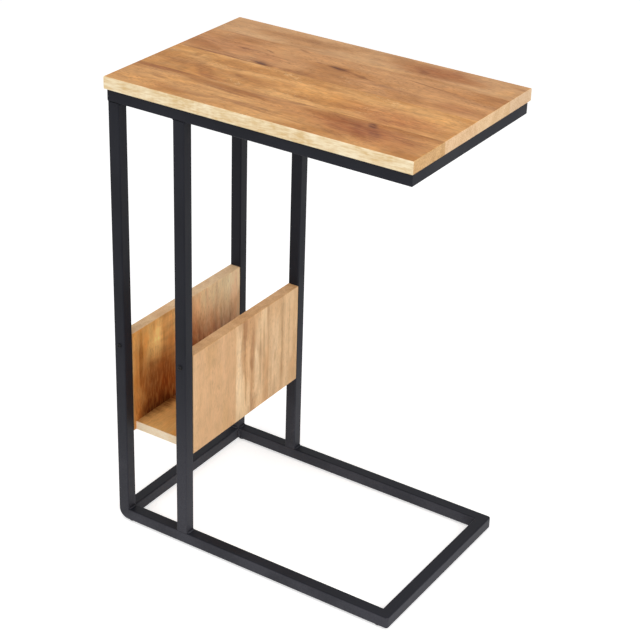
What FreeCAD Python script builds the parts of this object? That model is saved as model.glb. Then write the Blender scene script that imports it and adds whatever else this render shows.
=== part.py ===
import FreeCAD, Part
import os
import Sketcher

# C-shaped side table: solid wood top, welded frame of square steel tube and a
# two-panel magazine rack between the posts.  Millimetres, +Z up.  The origin is
# on the floor under the middle of the top; the C opens towards +X, and -Y is the
# long side that is called the front.

Vector = FreeCAD.Vector

DIMENSIONS = {
    # steel tube
    "tube_size": 16,
    "tube_wall": 1.5,
    "tube_corner_radius": 2,
    "fold_radius": 14,
    # frame
    "frame_length": 414,
    "frame_depth": 264,
    "frame_height": 601,
    "weld_leg": 2.5,
    "weld_fullness": 0.6,
    # top
    "top_thickness": 16,
    "top_end_overhang": 2,
    "top_side_overhang": 4,
    "top_edge_radius": 1.2,
    "middle_seam_offset": 6,
    "second_board_width": 74,
    "third_board_width": 76,
    # tabs and screws that hold the top
    "tab_length": 24,
    "tab_width": 20,
    "tab_thickness": 3,
    "tab_corner_cut": 4,
    "tab_inset": 70,
    "tab_slot_width": 5,
    "tab_slot_length": 9,
    "top_screw_core": 3,
    "top_screw_depth": 11,
    # magazine rack
    "rack_slot_width": 79,
    "rack_underside": 130,
    "panel_height": 142,
    "panel_thickness": 16,
    "panel_edge_radius": 0.8,
    "outer_first_stave": 88,
    "outer_second_stave": 68,
    "inner_first_stave": 91,
    "inner_second_stave": 74,
    "shelf_thickness": 12,
    "shelf_setback": 4,
    "tongue_thickness": 5,
    "tongue_length": 7,
    "groove_end_gap": 0.5,
    # screws through the posts into the rack
    "rack_screw_core": 3,
    "rack_screw_grip": 20,
    "rack_screw_inset": 12,
    "rack_screw_clearance": 0.6,
    # screw head
    "screw_head_diameter": 6.4,
    "screw_head_height": 2,
    "screw_recess_width": 1.1,
    "screw_recess_length": 3.8,
    "screw_recess_depth": 1.2,
    # glides
    "glide_diameter": 10,
    "glide_height": 3,
    "glide_inset": 17,
    "glide_stem_diameter": 5,
    "glide_stem_length": 7,
    "glide_stem_clearance": 0.2,
}

doc = FreeCAD.newDocument("side_table")
sheet = doc.addObject("Spreadsheet::Sheet", "Dims")
for row, (alias, number) in enumerate(DIMENSIONS.items(), start=1):
    sheet.set(f"A{row}", alias.replace("_", " "))
    sheet.set(f"B{row}", str(number))
    sheet.setAlias(f"B{row}", alias)
doc.recompute()

# Places that several sub-parts share, as expressions of the driving dimensions.
# The frame's own corner is its left, front, lower one.
TUBE = "Dims.tube_size"
WALL = "Dims.tube_wall"
LENGTH = "Dims.frame_length"
DEPTH = "Dims.frame_depth"
THICKNESS = "Dims.panel_thickness"
LEFT = f"(-{LENGTH} / 2)"
RIGHT = f"({LENGTH} / 2)"
FRONT = f"(-{DEPTH} / 2)"
BACK = f"({DEPTH} / 2)"
FRAME_UNDERSIDE = "Dims.glide_height"
TOP_UNDERSIDE = "(Dims.glide_height + Dims.frame_height)"
POST_TOP = f"(Dims.frame_height - {TUBE})"
CROSS_SPAN = f"({DEPTH} - 2 * {TUBE})"
BORE = f"({TUBE} - 2 * {WALL})"
TOP_LENGTH = f"({LENGTH} + 2 * Dims.top_end_overhang)"
TOP_DEPTH = f"({DEPTH} + 2 * Dims.top_side_overhang)"
INNER_POST = f"({TUBE} + Dims.rack_slot_width)"
OUTER_PANEL = f"({TUBE} - {THICKNESS})"
INNER_PANEL = f"({INNER_POST} + {TUBE} - {THICKNESS})"
SHELF_WIDTH = f"({INNER_PANEL} - {TUBE})"
SHELF_LENGTH = f"({CROSS_SPAN} - 2 * Dims.shelf_setback)"
SCREW_HEIGHT = "(Dims.rack_underside + Dims.panel_height - Dims.rack_screw_inset)"
SCREW_HOLE = "(Dims.rack_screw_core + 2 * Dims.rack_screw_clearance)"
STEM_HOLE = "(Dims.glide_stem_diameter + 2 * Dims.glide_stem_clearance)"

X_AXIS, Y_AXIS, Z_AXIS = range(3)
TOUCHING = 1e-6
SMALLEST_CUT = 0.01


# ---------------------------------------------------------------------------
# Bodies, sketches and features
# ---------------------------------------------------------------------------

def value(expression):
    """Number that an expression of the driving dimensions stands for now."""
    return float(sheet.evalExpression(expression))


def new_body(label, x, y, z, turned=False):
    """Body with its own origin at a place of the table, turned half round if asked."""
    body = doc.addObject("PartDesign::Body", label)
    body.Label = label
    body.AllowCompound = True
    if turned:
        half_turn = FreeCAD.Rotation(Vector(0, 0, 1), 180)
        body.Placement = FreeCAD.Placement(Vector(0, 0, 0), half_turn)
    body.setExpression("Placement.Base.x", x)
    body.setExpression("Placement.Base.y", y)
    body.setExpression("Placement.Base.z", z)
    return body


def origin_feature(body, role):
    """One of the body's own planes or axes."""
    for feature in body.Origin.OriginFeatures:
        if feature.Role == role:
            return feature
    raise ValueError(role)


def new_sketch(body, name, plane, offset=None):
    """Sketch on one of the body's own planes, pushed along its normal by offset."""
    sketch = body.newObject("Sketcher::SketchObject", name)
    sketch.AttachmentSupport = [(origin_feature(body, plane), "")]
    sketch.MapMode = "FlatFace"
    if offset is not None:
        sketch.setExpression("AttachmentOffset.Base.z", offset)
    return sketch


def bind(sketch, kind, geometry, vertex, expression):
    """Hold one coordinate of a sketch point at an expression of the dimensions."""
    if expression == "0":
        axis = -2 if kind == "DistanceX" else -1
        sketch.addConstraint(Sketcher.Constraint("PointOnObject", geometry, vertex, axis))
        return
    number = value(expression)
    index = sketch.addConstraint(Sketcher.Constraint(kind, -1, 1, geometry, vertex, number))
    sketch.setExpression(f"Constraints[{index}]", expression)


def arc_middle(start, end, radius, turn):
    """Middle point of the short arc from start to end; turn is 1 for anticlockwise."""
    chord = end - start
    half = chord.Length / 2
    height = radius - max(radius ** 2 - half ** 2, 0) ** 0.5
    outwards = Vector(chord.y, -chord.x, 0).normalize() * turn
    return (start + end) / 2 + outwards * height


def draw_outline(sketch, points, arcs=None):
    """Closed outline through points, each a pair of expressions.

    Where arcs names a side by the number of its first point, that side is an arc
    of the radius and turn given there, tangent to the side before it.
    """
    arcs = arcs or {}
    count = len(points)
    places = [Vector(value(x), value(y), 0) for x, y in points]
    for side in range(count):
        start = places[side]
        end = places[(side + 1) % count]
        if side in arcs:
            radius, turn = arcs[side]
            middle = arc_middle(start, end, value(radius), turn)
            sketch.addGeometry(Part.Arc(start, middle, end), False)
        else:
            sketch.addGeometry(Part.LineSegment(start, end), False)

    def vertex(side, is_start):
        # a sketch keeps every arc anticlockwise, so a clockwise one swaps its ends
        clockwise = side in arcs and arcs[side][1] < 0
        return 1 if is_start != clockwise else 2

    for side, (x, y) in enumerate(points):
        before = (side - 1) % count
        here = vertex(side, True)
        joint = "Tangent" if side in arcs else "Coincident"
        sketch.addConstraint(Sketcher.Constraint(joint, before, vertex(before, False), side, here))
        bind(sketch, "DistanceX", side, here, x)
        bind(sketch, "DistanceY", side, here, y)


def draw_rectangle(sketch, x, y, width, height):
    right = f"({x} + {width})"
    high = f"({y} + {height})"
    draw_outline(sketch, [(x, y), (right, y), (right, high), (x, high)])


def draw_circle(sketch, x, y, diameter):
    centre = Vector(value(x), value(y), 0)
    circle = Part.Circle(centre, Vector(0, 0, 1), value(diameter) / 2)
    index = sketch.addGeometry(circle, False)
    bind(sketch, "DistanceX", index, 3, x)
    bind(sketch, "DistanceY", index, 3, y)
    size = sketch.addConstraint(Sketcher.Constraint("Diameter", index, value(diameter)))
    sketch.setExpression(f"Constraints[{size}]", diameter)


def pad(body, sketch, length, along=1, symmetric=False):
    """Extrude a sketch; along is 1 or -1 times its plane's own normal."""
    feature = body.newObject("PartDesign::Pad", sketch.Name + "_pad")
    feature.Profile = sketch
    feature.SideType = "Symmetric" if symmetric else "One side"
    feature.Reversed = along < 0
    feature.setExpression("Length", length)
    doc.recompute()
    return feature


def pocket(body, sketch, depth=None, symmetric=False):
    """Cut a sketch out of the body: right through it, or to a depth into it."""
    before = body.Shape.Volume
    feature = body.newObject("PartDesign::Pocket", sketch.Name + "_cut")
    feature.Profile = sketch
    if depth is None:
        feature.Type = "ThroughAll"
        feature.SideType = "Symmetric"
    else:
        feature.SideType = "Symmetric" if symmetric else "One side"
        feature.setExpression("Length", depth)
    doc.recompute()
    if before - body.Shape.Volume < SMALLEST_CUT:
        feature.Reversed = True
        doc.recompute()
    if before - body.Shape.Volume < SMALLEST_CUT:
        raise RuntimeError(f"{feature.Name} cuts nothing")
    return feature


def revolve(body, sketch, axis_role):
    """Turn a half section once round one of the body's own axes."""
    feature = body.newObject("PartDesign::Revolution", sketch.Name + "_turned")
    feature.Profile = sketch
    feature.ReferenceAxis = (origin_feature(body, axis_role), [""])
    feature.Angle = 360
    doc.recompute()
    return feature


def dress(body, kind, feature, wanted, size_property, size):
    """Fillet or chamfer every edge of the feature that passes the test."""
    names = []
    for number, edge in enumerate(feature.Shape.Edges, start=1):
        if wanted(edge):
            names.append(f"Edge{number}")
    dressed = body.newObject("PartDesign::" + kind, f"{feature.Name}_{kind.lower()}")
    dressed.Base = (feature, names)
    dressed.setExpression(size_property, size)
    doc.recompute()
    return dressed


def fillet(body, feature, wanted, radius):
    return dress(body, "Fillet", feature, wanted, "Radius", radius)


def chamfer(body, feature, wanted, size):
    return dress(body, "Chamfer", feature, wanted, "Size", size)


def repeat(body, originals, *steps):
    """Two of the features a step apart along one of the body's axes, or four along two.

    Each step is the axis's role and the distance.
    """
    feature = body.newObject("PartDesign::LinearPattern", body.Name + "_pattern")
    feature.Originals = originals
    for direction, (role, distance) in zip(("", "2"), steps):
        setattr(feature, "Direction" + direction, (origin_feature(body, role), [""]))
        setattr(feature, "Occurrences" + direction, 2)
        feature.setExpression("Length" + direction, distance)
    body.Tip = feature
    doc.recompute()
    return feature


def span(edge, axis):
    """Lowest and highest coordinate of an edge along an axis."""
    box = edge.BoundBox
    low = (box.XMin, box.YMin, box.ZMin)[axis]
    high = (box.XMax, box.YMax, box.ZMax)[axis]
    return low, high


def lies_at(edge, axis, place):
    """Whether the whole edge keeps one coordinate."""
    low, high = span(edge, axis)
    return abs(low - place) < TOUCHING and abs(high - place) < TOUCHING


def runs_along(edge, axis):
    """Whether a straight edge is parallel to an axis."""
    for other in (X_AXIS, Y_AXIS, Z_AXIS):
        low, high = span(edge, other)
        if (high - low > TOUCHING) != (other == axis):
            return False
    return True


# ---------------------------------------------------------------------------
# Square tube
# ---------------------------------------------------------------------------

# Plane of the tube's section for each axis, and the sense that leads up the axis:
# the normal of the XZ plane points to -Y.
SECTION_PLANES = {X_AXIS: ("YZ_Plane", 1), Y_AXIS: ("XZ_Plane", -1), Z_AXIS: ("XY_Plane", 1)}


def straight_tube(label, axis, length, x, y, z, closed_ends=False):
    """Square tube with round long edges, from its lowest corner at x, y, z."""
    body = new_body(label, x, y, z)
    plane, along = SECTION_PLANES[axis]
    section = new_sketch(body, label + "_section", plane)
    draw_rectangle(section, "0", "0", TUBE, TUBE)
    blank = pad(body, section, length, along)
    fillet(body, blank, lambda edge: runs_along(edge, axis), "Dims.tube_corner_radius")
    middle = f"({along} * {length} / 2)"
    bore = new_sketch(body, label + "_bore", plane, middle)
    draw_rectangle(bore, WALL, WALL, BORE, BORE)
    bore_length = f"({length} - 2 * {WALL})" if closed_ends else length
    pocket(body, bore, bore_length, symmetric=True)
    return body


def mitre(body, name, corners):
    """Cut a tube's end at 45 degrees in plan; the corners bound its waste."""
    waste = new_sketch(body, name, "XY_Plane")
    draw_outline(waste, corners)
    pocket(body, waste)


def rack_screw_hole(body, x, drop):
    """Hole through both walls of a post for the screw that holds the rack.

    The drop is the height of the body's origin above the frame's underside.
    """
    hole = new_sketch(body, body.Name + "_screw_hole", "XZ_Plane")
    draw_circle(hole, x, f"({SCREW_HEIGHT} - {drop})", SCREW_HOLE)
    pocket(body, hole)


# ---------------------------------------------------------------------------
# Legs: an outer post and a floor runner, folded from one tube
# ---------------------------------------------------------------------------

def draw_fold(sketch, inset, radius, reach):
    """L-shaped outline, round outside the fold and sharp inside it, where it is notched.

    The inset shifts every wall inwards; reach carries both free ends outwards.
    """
    low = inset
    high = f"({TUBE} - {inset})"
    top = f"({POST_TOP} + {reach})"
    end = f"({LENGTH} + {reach})"
    stop = f"({low} + {radius})"
    points = [
        (low, top),
        (low, stop),
        (stop, low),
        (end, low),
        (end, high),
        (high, high),
        (high, top),
    ]
    draw_outline(sketch, points, {1: (radius, 1)})


def leg(label, y, outer_sense):
    """One leg; outer_sense is -1 at the front and 1 at the back."""
    body = new_body(label, LEFT, f"({y} - {outer_sense} * {TUBE} / 2)", FRAME_UNDERSIDE)
    outline = new_sketch(body, label + "_outline", "XZ_Plane")
    draw_fold(outline, "0", "Dims.fold_radius", "0")
    blank = pad(body, outline, TUBE, symmetric=True)
    top = value(POST_TOP)
    end = value(LENGTH)

    def is_long_edge(edge):
        low, high = span(edge, Y_AXIS)
        at_free_end = lies_at(edge, Z_AXIS, top) or lies_at(edge, X_AXIS, end)
        return high - low < TOUCHING and not at_free_end

    fillet(body, blank, is_long_edge, "Dims.tube_corner_radius")
    bore = new_sketch(body, label + "_bore", "XZ_Plane")
    draw_fold(bore, WALL, f"(Dims.fold_radius - {WALL})", WALL)
    pocket(body, bore, BORE, symmetric=True)

    outer_side = f"({outer_sense} * {TUBE} / 2)"
    inner_side = f"(-{outer_sense} * {TUBE} / 2)"
    mitre(body, label + "_mitre", [
        (LENGTH, outer_side),
        (LENGTH, inner_side),
        (f"({LENGTH} - {TUBE})", inner_side),
    ])
    rack_screw_hole(body, f"({OUTER_PANEL} + {THICKNESS} / 2)", "0")
    stems = new_sketch(body, label + "_stem_hole", "XY_Plane")
    for place in ("Dims.glide_inset", f"({LENGTH} - Dims.glide_inset)"):
        draw_circle(stems, place, "0", STEM_HOLE)
    pocket(body, stems, WALL)


leg("front_leg", FRONT, -1)
leg("back_leg", BACK, 1)


# ---------------------------------------------------------------------------
# Inner posts, which stand on the runners and carry the top rails
# ---------------------------------------------------------------------------

def inner_post(label, y):
    body = straight_tube(
        label, Z_AXIS, f"({POST_TOP} - {TUBE})",
        f"({LEFT} + {INNER_POST})", y, f"({FRAME_UNDERSIDE} + {TUBE})")
    rack_screw_hole(body, f"({TUBE} - {THICKNESS} / 2)", TUBE)


inner_post("front_inner_post", FRONT)
inner_post("back_inner_post", f"({BACK} - {TUBE})")

# ---------------------------------------------------------------------------
# Base cross rails
# ---------------------------------------------------------------------------

# The left rail butts against the legs.  Its ends are closed, because the legs'
# round corners leave a corner of each end uncovered.
straight_tube(
    "base_rail_left", Y_AXIS, CROSS_SPAN,
    LEFT, f"({FRONT} + {TUBE})", FRAME_UNDERSIDE, closed_ends=True)

# The right rail is mitred to the runners.
base_rail_right = straight_tube(
    "base_rail_right", Y_AXIS, DEPTH, f"({RIGHT} - {TUBE})", FRONT, FRAME_UNDERSIDE)
LAST_OF_LENGTH = f"({LENGTH} - {TUBE})"
LAST_OF_DEPTH = f"({DEPTH} - {TUBE})"
mitre(base_rail_right, "base_front_mitre", [("0", "0"), (TUBE, "0"), ("0", TUBE)])
mitre(base_rail_right, "base_back_mitre", [("0", DEPTH), (TUBE, DEPTH), ("0", LAST_OF_DEPTH)])

# ---------------------------------------------------------------------------
# Top frame: four rails mitred in plan
# ---------------------------------------------------------------------------

RAIL_LEVEL = f"({FRAME_UNDERSIDE} + {POST_TOP})"


def top_rail(label, axis, length, x, y, wastes):
    """Top rail along an axis; wastes holds the triangle cut off at each end."""
    body = straight_tube(label, axis, length, x, y, RAIL_LEVEL)
    for number, corners in enumerate(wastes, start=1):
        mitre(body, f"{label}_mitre_{number}", corners)


top_rail("top_rail_front", X_AXIS, LENGTH, LEFT, FRONT, [
    [("0", "0"), (TUBE, TUBE), ("0", TUBE)],
    [(LENGTH, "0"), (LENGTH, TUBE), (LAST_OF_LENGTH, TUBE)],
])
top_rail("top_rail_back", X_AXIS, LENGTH, LEFT, f"({BACK} - {TUBE})", [
    [("0", "0"), (TUBE, "0"), ("0", TUBE)],
    [(LENGTH, "0"), (LENGTH, TUBE), (LAST_OF_LENGTH, "0")],
])
top_rail("top_rail_left", Y_AXIS, DEPTH, LEFT, FRONT, [
    [("0", "0"), (TUBE, "0"), (TUBE, TUBE)],
    [("0", DEPTH), (TUBE, DEPTH), (TUBE, LAST_OF_DEPTH)],
])
top_rail("top_rail_right", Y_AXIS, DEPTH, f"({RIGHT} - {TUBE})", FRONT, [
    [("0", "0"), (TUBE, "0"), ("0", TUBE)],
    [("0", DEPTH), (TUBE, DEPTH), ("0", LAST_OF_DEPTH)],
])


# ---------------------------------------------------------------------------
# Screws
# ---------------------------------------------------------------------------

def screw(label, place, turned, core, length, plane, axis_role, face_plane, face_offset):
    """Pan-head screw along its body's own Y or Z axis, with a cross recess.

    The underside of the head is at the body's origin and the tip ahead of it.
    """
    body = new_body(label, *place, turned=turned)
    profile = new_sketch(body, label + "_profile", plane)
    shank = f"({core} / 2)"
    head = "(Dims.screw_head_diameter / 2)"
    draw_outline(profile, [
        ("0", "(-Dims.screw_head_height)"),
        (head, "(-Dims.screw_head_height)"),
        (head, "0"),
        (shank, "0"),
        (shank, length),
        ("0", length),
    ])
    turned_screw = revolve(body, profile, axis_role)
    recess = new_sketch(body, label + "_recess", face_plane, face_offset)
    narrow = "(Dims.screw_recess_width / 2)"
    wide = "(Dims.screw_recess_length / 2)"
    corners = [(narrow, wide), (narrow, narrow), (wide, narrow)]
    cross = []
    for x_sign, y_sign, quarter in ((1, 1, corners), (1, -1, corners[::-1]),
                                    (-1, -1, corners), (-1, 1, corners[::-1])):
        for x, y in quarter:
            cross.append((f"({x_sign} * {x})", f"({y_sign} * {y})"))
    draw_outline(recess, cross)
    recess_cut = pocket(body, recess, "Dims.screw_recess_depth")
    return body, [turned_screw, recess_cut]


def rack_screws(label, x, y, turned):
    """Two screws that reach right through two posts into the edges of both panels."""
    body, features = screw(
        label, (x, y, f"({FRAME_UNDERSIDE} + {SCREW_HEIGHT})"), turned,
        "Dims.rack_screw_core", f"({TUBE} + Dims.rack_screw_grip)",
        "XY_Plane", "Y_Axis", "XZ_Plane", "Dims.screw_head_height")
    repeat(body, features, ("X_Axis", f"({INNER_PANEL} - {OUTER_PANEL})"))


rack_screws("rack_screws_front", f"({LEFT} + {OUTER_PANEL} + {THICKNESS} / 2)", FRONT, False)
rack_screws("rack_screws_back", f"({LEFT} + {INNER_PANEL} + {THICKNESS} / 2)", BACK, True)

TAB_CENTRE_X = "(Dims.tab_inset + Dims.tab_length / 2)"
TAB_CENTRE_Y = f"({TUBE} + Dims.tab_width / 2)"
top_screws, top_screw_features = screw(
    "top_screws",
    (f"({LEFT} + {TAB_CENTRE_X})", f"({FRONT} + {TAB_CENTRE_Y})",
     f"({TOP_UNDERSIDE} - Dims.tab_thickness)"),
    False, "Dims.top_screw_core", "(Dims.tab_thickness + Dims.top_screw_depth)",
    "XZ_Plane", "Z_Axis", "XY_Plane", "(-Dims.screw_head_height)")
repeat(top_screws, top_screw_features,
       ("X_Axis", f"({LENGTH} - 2 * {TAB_CENTRE_X})"),
       ("Y_Axis", f"({DEPTH} - 2 * {TAB_CENTRE_Y})"))


# ---------------------------------------------------------------------------
# Tabs welded inside the long top rails; their punched slots let the wood swell
# ---------------------------------------------------------------------------

def tab(label, x, y, turned):
    body = new_body(label, x, y, f"({TOP_UNDERSIDE} - Dims.tab_thickness)", turned)
    outline = new_sketch(body, label + "_outline", "XY_Plane")
    draw_rectangle(outline, "0", "0", "Dims.tab_length", "Dims.tab_width")
    plate = pad(body, outline, "Dims.tab_thickness")
    free_side = value("Dims.tab_width")
    chamfer(body, plate,
            lambda edge: runs_along(edge, Z_AXIS) and lies_at(edge, Y_AXIS, free_side),
            "Dims.tab_corner_cut")
    slot = new_sketch(body, label + "_slot", "XY_Plane")
    draw_rectangle(slot, "((Dims.tab_length - Dims.tab_slot_width) / 2)",
                   "((Dims.tab_width - Dims.tab_slot_length) / 2)",
                   "Dims.tab_slot_width", "Dims.tab_slot_length")
    pocket(body, slot)


NEAR_TAB = f"({LEFT} + Dims.tab_inset)"
FAR_TAB = f"({RIGHT} - Dims.tab_inset)"
tab("top_tab_front_left", NEAR_TAB, f"({FRONT} + {TUBE})", False)
tab("top_tab_front_right", f"({FAR_TAB} - Dims.tab_length)", f"({FRONT} + {TUBE})", False)
tab("top_tab_back_left", f"({NEAR_TAB} + Dims.tab_length)", f"({BACK} - {TUBE})", True)
tab("top_tab_back_right", FAR_TAB, f"({BACK} - {TUBE})", True)


# ---------------------------------------------------------------------------
# Top: four boards glued edge to edge
# ---------------------------------------------------------------------------

def top_board(number, start, width, outer_edge, screw_line):
    """Board with eased outer edges; screw_line is where its pilot holes are, if any."""
    label = f"top_board_{number}"
    body = new_body(label, f"({LEFT} - Dims.top_end_overhang)",
                    f"({FRONT} - Dims.top_side_overhang + {start})", TOP_UNDERSIDE)
    outline = new_sketch(body, label + "_outline", "XY_Plane")
    draw_rectangle(outline, "0", "0", TOP_LENGTH, width)
    board = pad(body, outline, "Dims.top_thickness")
    ends = (0, value(TOP_LENGTH))

    def is_outer_edge(edge):
        at_end = any(lies_at(edge, X_AXIS, place) for place in ends)
        at_side = outer_edge is not None and lies_at(edge, Y_AXIS, value(outer_edge))
        return not runs_along(edge, Z_AXIS) and (at_end or at_side)

    fillet(body, board, is_outer_edge, "Dims.top_edge_radius")
    if screw_line is not None:
        pilot = new_sketch(body, label + "_pilot", "XY_Plane")
        first = f"(Dims.top_end_overhang + {TAB_CENTRE_X})"
        for x in (first, f"({TOP_LENGTH} - {first})"):
            draw_circle(pilot, x, screw_line, "Dims.top_screw_core")
        pocket(body, pilot, "Dims.top_screw_depth")


# Seams counted from the front edge: the inner boards lie on both sides of the
# middle seam, and the outer ones make up the depth.
THIRD_BOARD = f"({TOP_DEPTH} / 2 + Dims.middle_seam_offset)"
SECOND_BOARD = f"({THIRD_BOARD} - Dims.second_board_width)"
BACK_BOARD = f"({THIRD_BOARD} + Dims.third_board_width)"
BACK_BOARD_WIDTH = f"({TOP_DEPTH} - {BACK_BOARD})"
SCREW_LINE = f"(Dims.top_side_overhang + {TAB_CENTRE_Y})"
top_board(1, "0", SECOND_BOARD, "0", SCREW_LINE)
top_board(2, SECOND_BOARD, "Dims.second_board_width", None, None)
top_board(3, THIRD_BOARD, "Dims.third_board_width", None, None)
top_board(4, BACK_BOARD, BACK_BOARD_WIDTH, BACK_BOARD_WIDTH,
          f"({BACK_BOARD_WIDTH} - {SCREW_LINE})")


# ---------------------------------------------------------------------------
# Magazine rack: two panels of upright staves and a shelf tongued into both
# ---------------------------------------------------------------------------

# the tongues lie half way up the shelf's thickness
TONGUE_LOW = "((Dims.shelf_thickness - Dims.tongue_thickness) / 2)"
TONGUE_HIGH = "((Dims.shelf_thickness + Dims.tongue_thickness) / 2)"

def stave_widths(first, second):
    """Three widths that fill the span between the posts."""
    return [first, second, f"({CROSS_SPAN} - {first} - {second})"]


def stave(label, x, start, width, groove_face, first, last):
    """Upright stave with a groove for the shelf and, beside a post, a pilot hole.

    The groove's face is an offset along the YZ plane's normal.  The groove stops
    where the shelf does, short of the first stave's and the last one's outer edge.
    """
    body = new_body(label, f"({LEFT} + {x})", f"({FRONT} + {TUBE} + {start})",
                    f"({FRAME_UNDERSIDE} + Dims.rack_underside)")
    outline = new_sketch(body, label + "_outline", "XY_Plane")
    draw_rectangle(outline, "0", "0", THICKNESS, width)
    board = pad(body, outline, "Dims.panel_height")
    fillet(body, board, lambda edge: runs_along(edge, Y_AXIS), "Dims.panel_edge_radius")
    groove = new_sketch(body, label + "_groove", "YZ_Plane", groove_face)
    groove_start = "Dims.shelf_setback" if first else "0"
    groove_end = f"({width} - Dims.shelf_setback)" if last else width
    draw_outline(groove, [
        (groove_start, TONGUE_LOW),
        (groove_end, TONGUE_LOW),
        (groove_end, TONGUE_HIGH),
        (groove_start, TONGUE_HIGH),
    ])
    pocket(body, groove, "(Dims.tongue_length + Dims.groove_end_gap)")
    if first or last:
        # the XZ plane's normal points to -Y, so a place on it has the opposite sign
        screw_face = "0" if first else f"(-{width})"
        pilot = new_sketch(body, label + "_pilot", "XZ_Plane", screw_face)
        draw_circle(pilot, f"({THICKNESS} / 2)", "(Dims.panel_height - Dims.rack_screw_inset)",
                    "Dims.rack_screw_core")
        pocket(body, pilot, "Dims.rack_screw_grip")


def rack_panel(side, x, widths, groove_face):
    starts = ["0", widths[0], f"({widths[0]} + {widths[1]})"]
    for number, (start, width) in enumerate(zip(starts, widths), start=1):
        stave(f"rack_{side}_stave_{number}", x, start, width, groove_face,
              first=number == 1, last=number == len(widths))


rack_panel("outer", OUTER_PANEL,
           stave_widths("Dims.outer_first_stave", "Dims.outer_second_stave"), THICKNESS)
rack_panel("inner", INNER_PANEL,
           stave_widths("Dims.inner_first_stave", "Dims.inner_second_stave"), "0")


def shelf(label):
    """Shelf between the panels, with a tongue along each side."""
    body = new_body(label, f"({LEFT} + {TUBE})", f"({FRONT} + {TUBE} + Dims.shelf_setback)",
                    f"({FRAME_UNDERSIDE} + Dims.rack_underside)")
    section = new_sketch(body, label + "_section", "XZ_Plane")
    left_tip = "(-Dims.tongue_length)"
    right_tip = f"({SHELF_WIDTH} + Dims.tongue_length)"
    draw_outline(section, [
        ("0", "0"),
        (SHELF_WIDTH, "0"),
        (SHELF_WIDTH, TONGUE_LOW),
        (right_tip, TONGUE_LOW),
        (right_tip, TONGUE_HIGH),
        (SHELF_WIDTH, TONGUE_HIGH),
        (SHELF_WIDTH, "Dims.shelf_thickness"),
        ("0", "Dims.shelf_thickness"),
        ("0", TONGUE_HIGH),
        (left_tip, TONGUE_HIGH),
        (left_tip, TONGUE_LOW),
        ("0", TONGUE_LOW),
    ])
    board = pad(body, section, SHELF_LENGTH, along=-1)
    levels = (0, value("Dims.shelf_thickness"))
    fillet(body, board,
           lambda edge: runs_along(edge, X_AXIS) and any(lies_at(edge, Z_AXIS, z) for z in levels),
           "Dims.panel_edge_radius")


shelf("rack_shelf")


# ---------------------------------------------------------------------------
# Glides pressed into the runners
# ---------------------------------------------------------------------------

def glide(label, x, y):
    body = new_body(label, x, y, "0")
    profile = new_sketch(body, label + "_profile", "XZ_Plane")
    disc = "(Dims.glide_diameter / 2)"
    stem = "(Dims.glide_stem_diameter / 2)"
    tip = "(Dims.glide_height + Dims.glide_stem_length)"
    draw_outline(profile, [
        ("0", "0"),
        (disc, "0"),
        (disc, "Dims.glide_height"),
        (stem, "Dims.glide_height"),
        (stem, tip),
        ("0", tip),
    ])
    revolve(body, profile, "Z_Axis")


for side, y in (("front", f"({FRONT} + {TUBE} / 2)"), ("back", f"({BACK} - {TUBE} / 2)")):
    glide(f"glide_{side}_left", f"({LEFT} + Dims.glide_inset)", y)
    glide(f"glide_{side}_right", f"({RIGHT} - Dims.glide_inset)", y)


# ---------------------------------------------------------------------------
# Weld beads
# ---------------------------------------------------------------------------

tube = value(TUBE)
flat_start = value("Dims.tube_corner_radius")
flat_run = tube - 2 * flat_start
inner_left = value(INNER_POST)
inner_right = inner_left + tube
post_top = value(POST_TOP)
length = value(LENGTH)
half_depth = value(DEPTH) / 2


def bead(corner, run, first_leg, second_leg):
    """Fillet weld along run in the corner between two faces, bulging outwards."""
    size = value("Dims.weld_leg")
    fullness = value("Dims.weld_fullness")
    first = corner + first_leg * size
    second = corner + second_leg * size
    crown = corner + (first_leg + second_leg) * size * fullness
    edges = [
        Part.LineSegment(corner, first).toShape(),
        Part.Arc(first, crown, second).toShape(),
        Part.LineSegment(second, corner).toShape(),
    ]
    return Part.Face(Part.Wire(edges)).extrude(run)


def weld_group(label, beads):
    """Beads given in the frame's own coordinates, with y = 0 on the middle plane."""
    group = doc.addObject("Part::Feature", label)
    group.Label = label
    group.Shape = Part.makeCompound(beads)
    group.Placement = FreeCAD.Placement(
        Vector(value(LEFT), 0, value(FRAME_UNDERSIDE)), FreeCAD.Rotation())


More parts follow.
